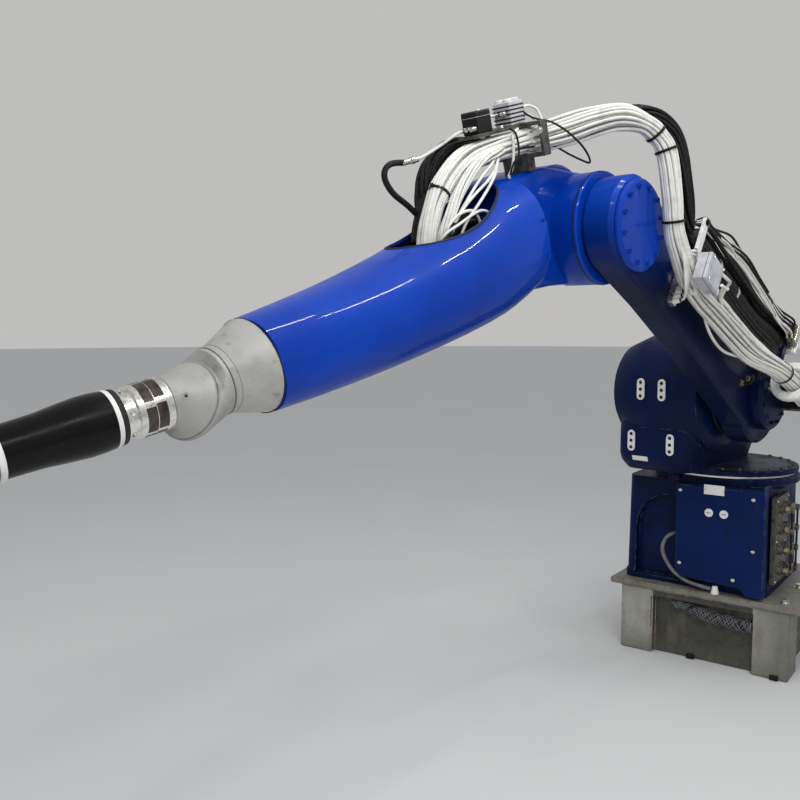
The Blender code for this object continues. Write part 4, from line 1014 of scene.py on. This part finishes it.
# %% [markdown]
# Push-in fittings stand in a row on the manifold bar below the elbow, with a tube in each. A few tubes
# leave the loop early and sweep down to them like a skirt. The white post ends in a black bolt.

# %% Fittings on the bar and the post
bar_rows = [-0.092 + 0.0165 * i for i in range(12)]
fitting = turned([(0, 0), (0, 0.0078), (0.008, 0.0078), (0.01, 0.0068), (0.024, 0.0068), (0.026, 0.0055),
                  (0.026, 0)], 12)
stamped("bar_fittings", fitting, [facing(LOWER, (0.862, 0.2625, up), (0.35, 1, 0)) for up in bar_rows],
        WHITE_PLASTIC, "lower_arm")
collar = turned([(0.026, 0.0), (0.026, 0.0074), (0.03, 0.0074), (0.03, 0.0)], 12)
stamped("bar_collars", collar, [facing(LOWER, (0.862, 0.2625, up), (0.35, 1, 0)) for up in bar_rows],
        BLACK_PLASTIC, "lower_arm")
stamped("post_bolt", hex_head(0.0085, 0.007), [facing(LOWER, (0.818, 0.2712, 0.233), Y)],
        BLACK_PLASTIC, "lower_arm")
skirt = []
for i, up in enumerate(bar_rows[:9]):
    share = i / 8
    skirt.append(eased(placed(LOWER, [
        (1.125 - 0.01 * share, 0.292, 0.15 + 0.02 * share),
        (1.085, 0.303 + 0.004 * (i % 2), 0.092 + 0.02 * share),
        (1.035, 0.318, 0.022 + 0.03 * share), (0.98, 0.326, -0.03 + 0.05 * share),
        (0.925, 0.322, up + 0.01), (0.888, 0.306, up), (0.8725, 0.2905, up)])))
skirt_tubes = tubes("skirt_tubes", skirt, THIN_TUBE, WHITE_TUBE, None)
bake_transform(skirt_tubes)

# %% [markdown]
# Loose ends keep the lower arm lively: one tube bows out under the bundle, two leave the valve box,
# and short ones turn into the arm below the guide ring.

# %% Loose tubes on the lower arm
loose = [mm((800, 300, -30), (732, 292, -40), (657, 284, -64), (569, 280, -74), (479, 282, -66),
            (373, 300, -30), (320, 318, -12)),
         mm((852, 395, -30), (815, 396, -22), (775, 378, 4), (742, 345, 20), (700, 322, 20), (640, 312, 14)),
         mm((852, 380, 15), (800, 384, 22), (745, 366, 44), (700, 334, 50), (640, 300, 44), (560, 292, 50)),
         mm((640, 292, 56), (540, 284, 74), (440, 284, 70), (340, 300, 72), (240, 330, 62), (190, 344, 48))]
tubes("loose_tubes", [laid(LOWER, route) for route in loose], 0.0052, WHITE_TUBE, "lower_arm")
for number, (along, up) in enumerate(((0.206, -0.05), (0.16, -0.01), (0.235, 0.06))):
    elbow_bend = [(along, 0.2405, up), (along, 0.262, up), (along + 0.004, 0.276, up + 0.004),
                  (along + 0.024, 0.29, up + 0.01), (along + 0.06, 0.3, up + 0.01)]
    tubes("arm_port_tube_%d" % (number + 1), [laid(LOWER, elbow_bend)], 0.006, BLACK_CABLE, "lower_arm")
stamped("arm_ports", hex_head(0.0105, 0.01),
        [facing(LOWER, (along, 0.2403, up)) for along, up in ((0.206, -0.05), (0.16, -0.01), (0.235, 0.06))],
        BRASS, "lower_arm")

# %% [markdown]
# The valve box is a painted case with a lid. The lid's line is a thin dark band, and four screws hold
# it. The guide ring is bolted to the shoulder cap by a small foot, and the end block has a steel strap.

# %% Lid, foot and strap
low, high = (0.845, 0.342, -0.06), (0.945, 0.388, 0.035)
box_piece("valve_lid_line", LOWER, (low[0] - 0.0006, high[1] - 0.013, low[2] - 0.0006),
          (high[0] + 0.0006, high[1] - 0.0115, high[2] + 0.0006), 0.0002, BLACK_RUBBER, "lower_arm")
stamped("valve_lid_screws", SMALL_SCREW,
        [facing(LOWER, (along, high[1] - 0.0004, up)) for along in (0.856, 0.934) for up in (-0.049, 0.024)],
        STEEL, "lower_arm")
box_piece("guide_ring_foot", LOWER, (0.062, 0.2903, -0.012), (0.088, 0.304, 0.068), 0.002, STEEL, "lower_arm")
box_piece("end_block_strap", LOWER, (-0.096, 0.29, -0.0125), (-0.085, 0.411, 0.0825), 0.001, STEEL,
          "lower_arm")

# %% [markdown]
# On the upper arm, a bracket carries two valve blocks over the bundle. The black block has a lid and
# three ports, and its air line runs forward to a steel ferrule. A thin cable makes a loose loop behind.

# %% Details of the valve blocks
box_piece("black_block_seam", UPPER, (0.3374, -0.0266, 0.4), (0.4066, 0.0266, 0.4012), 0.0002, GREY_PAINT,
          "upper_arm")
box_piece("black_block_lid", UPPER, (0.3395, -0.0245, 0.4138), (0.4045, 0.0245, 0.417), 0.0008, DARK_STEEL,
          "upper_arm")
stamped("black_block_ports", port,
        [facing(UPPER, (0.4058, side, 0.372), X) for side in (-0.016, 0.0, 0.016)], STEEL, "upper_arm")
ribs_bm = bmesh.new()
for i in range(5):
    up = 0.364 + 0.011 * i
    stamp(ribs_bm, block((0.1815, -0.0295, up), (0.2545, 0.0295, up + 0.004), 0.0008), [UPPER])
piece("silver_block_ribs", ribs_bm, BLACK_PLASTIC, "upper_arm")
stamped("silver_block_caps", turned([(0, 0), (0, 0.0125), (0.006, 0.0125), (0.008, 0.01), (0.008, 0)], 20),
        [facing(UPPER, (along, side, 0.4222), Z) for along in (0.202, 0.236) for side in (-0.013, 0.013)],
        WHITE_PLASTIC, "upper_arm")
stamped("silver_block_ports", port,
        [facing(UPPER, (0.1842, side, up), (-1, 0, 0)) for side in (-0.014, 0.014) for up in (0.376, 0.398)]
        + [facing(UPPER, (0.252, side, 0.392), X) for side in (-0.014, 0.012)], STEEL, "upper_arm")
stamped("bracket_bolts", hex_head(0.0075, 0.006),
        [facing(UPPER, (0.2222, side, 0.33), X) for side in (-0.1005, 0.0985)]
        + [facing(UPPER, (0.29, side, 0.3562), Z) for side in (-0.018, 0.018)], STEEL, "upper_arm")
between_ports = [mm((270, -14, 392), (292, -14, 394), (310, -6, 398), (330, 0, 404), (350, 4, 410),
                    (366, 8, 416), (372, 12, 408)),
                 mm((166, 14, 398), (140, 16, 400), (112, 24, 384), (110, 34, 350), (140, 36, 325)),
                 mm((166, -14, 376), (136, -14, 380), (104, -4, 368), (98, 10, 340), (120, 20, 322)),
                 mm((252, 46, 345), (292, 56, 330), (304, 58, 290), (318, 56, 250), (336, 52, 228),
                    (330, 48, 221.5))]
tubes("block_tubes", [laid(UPPER, route) for route in between_ports], THIN_TUBE, WHITE_TUBE, "upper_arm")

# %% Air line, braided hose and cable loop
air_line = mm((423.6, -16, 372), (450, -22, 366), (480, -45, 350), (531, -70, 331), (560, -78, 326))
tubes("air_line", [laid(UPPER, air_line)], THIN_TUBE, WHITE_TUBE, "upper_arm")
ferrule = turned([(0, 0), (0, 0.0085), (0.012, 0.0085), (0.013, 0.01), (0.026, 0.01), (0.027, 0.008),
                  (0.055, 0.008), (0.055, 0)], 16)
ferrule_line = UPPER.to_3x3() @ Vector((0.96, -0.22, -0.02))
stamped("ferrule", ferrule, [stand(UPPER @ Vector((0.553, -0.077, 0.3275)), ferrule_line, outward)], STEEL,
        "upper_arm")
braided = eased(placed(UPPER, mm((600, -88, 327), (641, -95, 331), (668, -96, 318), (676, -93, 292),
                                 (660, -88, 255), (620, -80, 212), (585, -70, 160), (572, -60, 110))), 14)
tubes("braided_hose", [braided], 0.008, BLACK_CABLE, "upper_arm", swell=lambda i: 1.0 + 0.08 * (i % 2))
cable_loop = mm((186, 24, 388), (167, 50, 362), (163, 100, 344), (188, 165, 311), (181, 198, 270),
                (148, 196, 235), (111, 175, 212), (89, 145, 215), (104, 110, 241), (116, 84, 264),
                (147, 74, 280), (215, 68, 288), (281, 62, 292))
short_loop = mm((280, 40, 350), (290, 64, 336), (294, 70, 299), (304, 70, 274), (325, 66, 258),
                (335, 56, 230))
long_loop = tubes("long_cable_loop", [laid(UPPER, cable_loop, 8)], 0.003, BLACK_CABLE, None)
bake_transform(long_loop)
tubes("short_cable_loop", [laid(UPPER, short_loop, 8)], 0.003, BLACK_CABLE, "upper_arm")

# %% [markdown]
# The bundle does not go into the cover in one piece. A second, thinner bundle leaves it at the bracket,
# black hoses bow out on the far side, and the mouth is full of loops that were pushed back inside. They
# are what makes the mouth look used, so each group gets its own route.

# %% Second white bundle and black hoses beside the first
second_route = eased(placed(UPPER, mm((300, 20, 300), (362, 36, 296), (430, 44, 290), (490, 46, 268),
                                      (551, 47, 230), (600, 48, 186), (640, 46, 142), (655, 42, 105))))
second_lines = strands(second_route, ring_of_seats(0.0, 1) + ring_of_seats(0.0105, 7), outward, 3.0, 0.0035)
tubes("second_white_tubes", second_lines, 0.0044, WHITE_TUBE, "upper_arm")
far_route = eased(placed(UPPER, mm((290, -68, 316), (350, -80, 330), (420, -87, 330), (480, -90, 308),
                                   (522, -90, 270), (548, -88, 222), (560, -80, 170), (566, -66, 112))))
far_seats = ring_of_seats(0.0, 1) + ring_of_seats(0.0115, 6) + ring_of_seats(0.02, 8, 0.4)
tubes("far_black_hoses", strands(far_route, far_seats, outward, 2.5, 0.004), 0.0056, BLACK_CABLE, "upper_arm")

# %% Loops in the mouth
thin_routes = [mm((340, 30, 290), (390, 54, 262), (450, 66, 236), (515, 70, 214), (575, 70, 188),
                  (625, 64, 150), (640, 50, 108)),
               mm((350, 36, 280), (410, 62, 246), (470, 76, 216), (530, 80, 184), (585, 76, 150),
                  (610, 60, 105)),
               mm((336, 26, 296), (400, 48, 272), (470, 60, 248), (545, 64, 206), (610, 62, 158),
                  (632, 52, 106)),
               mm((662, 60, 120), (655, 72, 154), (618, 76, 174), (576, 76, 178), (540, 74, 168),
                  (515, 66, 130), (505, 56, 100)),
               mm((676, 50, 104), (672, 68, 136), (618, 78, 152), (530, 80, 168), (480, 74, 150),
                  (460, 60, 108))]
tubes("mouth_white_loops", [laid(UPPER, route) for route in thin_routes], THIN_TUBE, WHITE_TUBE, "upper_arm")
dark_routes = []
for i in range(14):
    sway = noise.noise_vector(Vector((i * 1.9, 6.2, 3.3)))
    start, end = 0.41 + 0.02 * (i % 5), 0.56 + 0.022 * (i % 7)
    side = -0.06 + 0.0095 * i
    dark_routes.append(eased(placed(UPPER, [
        (start, side, 0.095), (start + 0.02, side + 0.01 * sway.x, 0.125 + 0.02 * sway.y),
        (0.5 * (start + end), side + 0.018 * sway.z, 0.15 + 0.03 * sway.x),
        (end - 0.02, side + 0.012 * sway.y, 0.128 + 0.02 * sway.z), (end, side, 0.095)])))
tubes("mouth_black_cables", dark_routes, 0.0062, BLACK_CABLE, "upper_arm")

# %% [markdown]
# The base has its own small things: a blank rating plate, two screw plugs with a slot, a grey hose to
# a white fitting, a panel of brass fittings, and the braided earth strap that sags under the plate.

# %% Small parts of the base
box_piece("blank_plate", GROUND, (0.2981, 0.0, 0.706), (0.2999, 0.08, 0.7455), 0.0004, WHITE_PLASTIC, "base")
stamped("blank_plate_rivets", turned([(0, 0), (0, 0.0026), (0.0012, 0.0018), (0.0012, 0)], 10),
        [facing(GROUND, (0.2998, side, 0.7258), X) for side in (0.0045, 0.0755)], STEEL, "base")
box_piece("turret_blank_plate", facing(TURRET, (0.4453, -0.169, -0.267), (0.949, -0.018, -0.312)),
          (-0.0002, -0.034, -0.01), (0.0016, 0.034, 0.01), 0.0004, WHITE_PLASTIC, "turret")
gap_line = block((0.2972, 0.204, 0.5), (0.2988, 0.2058, 0.7), 0.0002)
stamp(gap_line, block((0.29, -0.2092, 0.113), (0.2917, -0.2066, 0.243), 0.0002), [GROUND])
piece("dark_slits", gap_line, BLACK_RUBBER, "base")
# Painted shade: thin black bars stand for the shade inside the plugs' slots.
slot_bm = bmesh.new()
for side in (0.022, 0.081):
    stamp(slot_bm, block((0.3042, side - 0.009, 0.6308), (0.3052, side + 0.009, 0.6332), 0.0002), [GROUND])
piece("plug_slots", slot_bm, BLACK_RUBBER, "base")
HOSE_LOOP = mm((210.3, -75, 512.3), (241.3, -120, 519.8), (271.3, -158, 498.2), (277.3, -170, 439.9),
               (279.3, -130, 371.9), (281.3, -70, 333.9), (285.3, -10, 322.4), (287.3, 35, 318.4))
base_hose = tubes("base_grey_hose", [laid(GROUND, HOSE_LOOP)], 0.008, GREY_HOSE, "base")
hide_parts("base_hose_loop")
stamped("pocket_hose_nut", hex_head(0.013, 0.012), [facing(GROUND, (0.2012, -0.072, 0.511), X)],
        BRASS, "base")

# %% Brass fittings on the side panel
panel_spots = [(along, up) for up in (0.4003, 0.4837, 0.567, 0.65) for along in (0.06, 0.15)]
nut = hex_head(0.019, 0.012)
sleeve_nut = turned([(0, 0.0128), (0, 0.0165), (0.014, 0.0165), (0.016, 0.0145), (0.016, 0.0128)], 6, True)
stamped("panel_nuts", nut, [facing(GROUND, (along, 0.256, up)) for along, up in panel_spots], BRASS, "base")
stamped("panel_sleeve_nuts", sleeve_nut, [facing(GROUND, (along, 0.28, up)) for along, up in panel_spots],
        BRASS, "base")
stamped("panel_screws", SMALL_SCREW,
        [facing(GROUND, (along, 0.2555, up)) for along in (0.02, 0.19) for up in (0.362, 0.525, 0.688)],
        STEEL, "base")
jumpers = []
for i in range(3):
    low_up, high_up = 0.4003 + 0.0833 * i, 0.4837 + 0.0833 * i
    for along in (0.06, 0.15):
        jumpers.append(eased([(along, 0.296, low_up), (along + 0.003, 0.303, low_up + 0.01),
                              (along + 0.006, 0.3045, 0.5 * (low_up + high_up)),
                              (along + 0.003, 0.303, high_up - 0.01), (along, 0.296, high_up)]))
tubes("panel_jumper_tubes", jumpers, 0.0045, BLACK_CABLE, "base")

# %% Braided earth strap
STRAP_ROUTE = mm((272, -125.2, 227), (272, -70.7, 221), (272, 0, 205), (272, 70.7, 193), (272, 139.4, 189),
                 (272, 199.4, 189))
strap_route = laid(GROUND, STRAP_ROUTE, 14)
thick = shaped([(0, 0.6, 0.6), (14, 1.2, 1.1), (30, 1.4, 1.2), (50, 1.6, 1.4), (70, 1.3, 1.2)])
plaits = []
for first, twist in ((0.0, 22.0), (0.5, -22.0)):
    plaits += strands(strap_route, ring_of_seats(0.0135, 7, first), Vector(Z), twist, 0.005, thick)
strap = tubes("braided_earth_strap", plaits, 0.0046, BLACK_CABLE, "base", sides=1)
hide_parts("riser_sleeve")
wires = []
for first, twist in ((0.2, 24.0), (0.7, -22.0)):
    wires += strands(strap_route, ring_of_seats(0.0178, 8, first), Vector(Z), twist, 0.006, thick)
tubes("earth_strap_wires", wires, 0.0016, GREY_HOSE, "base", sides=1)

# %% [markdown]
# Welds hold the riser together. A weld bead is a low rope of ripples. A tube whose radius rises and
# falls makes the ripples, and half of it sinks into the metal.

# %% Weld beads and floor clips
low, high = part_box("riser_frame")
half = 0.34                   # half of the riser's width
beads = []
for side in (-1, 1):
    beads.append([Vector((low.x + 0.004 + 0.004 * i, side * (half + 0.001), 0.2745)) for i in range(168)])
for x in (low.x - 0.001, high.x + 0.001):
    beads.append([Vector((x, -half + 0.004 + 0.004 * i, 0.2745)) for i in range(168)])
for y in (-half + LEG, half - LEG):
    beads.append([Vector((high.x - 0.0345, y, 0.004 + 0.004 * i)) for i in range(60)])
tubes("weld_beads", beads, 0.0038, RISER_WHITE, "base", swell=lambda i: 0.85 + 0.25 * (i % 2))
clips = bmesh.new()
for x, y in ((0.26, -0.045), (0.29, 0.29)):
    stamp(clips, block((x, y - 0.016, 0.002), (x + 0.014, y + 0.016, 0.02), 0.002), [GROUND])
piece("floor_clips", clips, BLACK_PLASTIC, "base")

# %% [markdown]
# The floor is one large pale sheet. The sky is plain too: soft light for the object, and a lighter
# tone for what the lens and polished metal see. A row of thin lamps over the arm draws the streaks on
# the glossy cover, and a wider one draws the light line on the tool. A soft lamp from above and a broad
# one beside the camera fill the sides that we look at, and both stay out of reflections.

# %% Floor, sky and lamps
floor_bm = bmesh.new()
bmesh.ops.create_circle(floor_bm, cap_ends=True, segments=64, radius=45.0)
floor_mesh = bpy.data.meshes.new("studio_floor")
floor_bm.to_mesh(floor_mesh)
floor_bm.free()
floor = shown("studio_floor", floor_mesh)
FLOOR_PAINT = new_finish("floor_paint", (0.62, 0.62, 0.61), 0.9)
stain(FLOOR_PAINT, (0.605, 0.605, 0.595), grain(FLOOR_PAINT, 1.2, 0.3, 0.7))
floor_mesh.materials.append(FLOOR_PAINT)

world = bpy.data.worlds.new("studio")
world.use_nodes = True
bpy.context.scene.world = world
sky = world.node_tree
light_sky = sky.nodes["Background"]
light_sky.inputs["Color"].default_value = (0.93, 0.96, 1.0, 1.0)
light_sky.inputs["Strength"].default_value = 0.56
seen_sky = node(world, "Background", Color=(0.52, 0.515, 0.505, 1.0))
ray = node(world, "LightPath").outputs
seen = node(world, "Math", "MAXIMUM", _0=ray["Is Camera Ray"], _1=ray["Is Glossy Ray"]).outputs[0]
seen = node(world, "Math", "MAXIMUM", _0=seen, _1=ray["Is Transmission Ray"]).outputs[0]
blend_sky = node(world, "MixShader", _0=seen, _1=light_sky.outputs[0], _2=seen_sky.outputs[0])
sky.links.new(blend_sky.outputs[0], sky.nodes["World Output"].inputs["Surface"])


def lamp(name, place, turn, long, wide, power, shines):
    """A rectangular lamp. Where it should not shine in gloss, it only gives light."""
    light = bpy.data.lights.new(name, "AREA")
    light.shape = "RECTANGLE"
    light.size = long
    light.size_y = wide
    light.energy = power
    item = shown(name, light)
    item.location = place
    item.rotation_euler = turn
    item.visible_glossy = shines


heading = math.atan2(line_of["r_roll"].y, line_of["r_roll"].x)
for number, (along, side, long) in enumerate(((0.85, 0.7, 0.26), (1.2, 0.93, 0.28), (1.66, 0.86, 0.34),
                                              (1.88, 0.8, 0.06), (2.06, 0.36, 0.26))):
    lamp("strip_%d" % (number + 1), (along, side, 3.2), (0, 0, heading), long, 0.045, 17 * long, True)
towards = Vector((1.6, -0.2, 1.2)) - Vector((4.4, 2.2, 3.0))
lamp("soft_top", (1.2, -0.6, 3.9), (0, 0, 0), 3.2, 3.2, 34, False)
lamp("broad_key", (4.4, 2.2, 3.0), towards.to_track_quat("-Z", "Y").to_euler(), 2.4, 2.4, 58, False)
lamp("tool_strip", (2.97, 1.73, 3.2), (0, 0, heading), 1.3, 0.22, 18, True)

bpy.context.scene.view_settings.view_transform = "Standard"
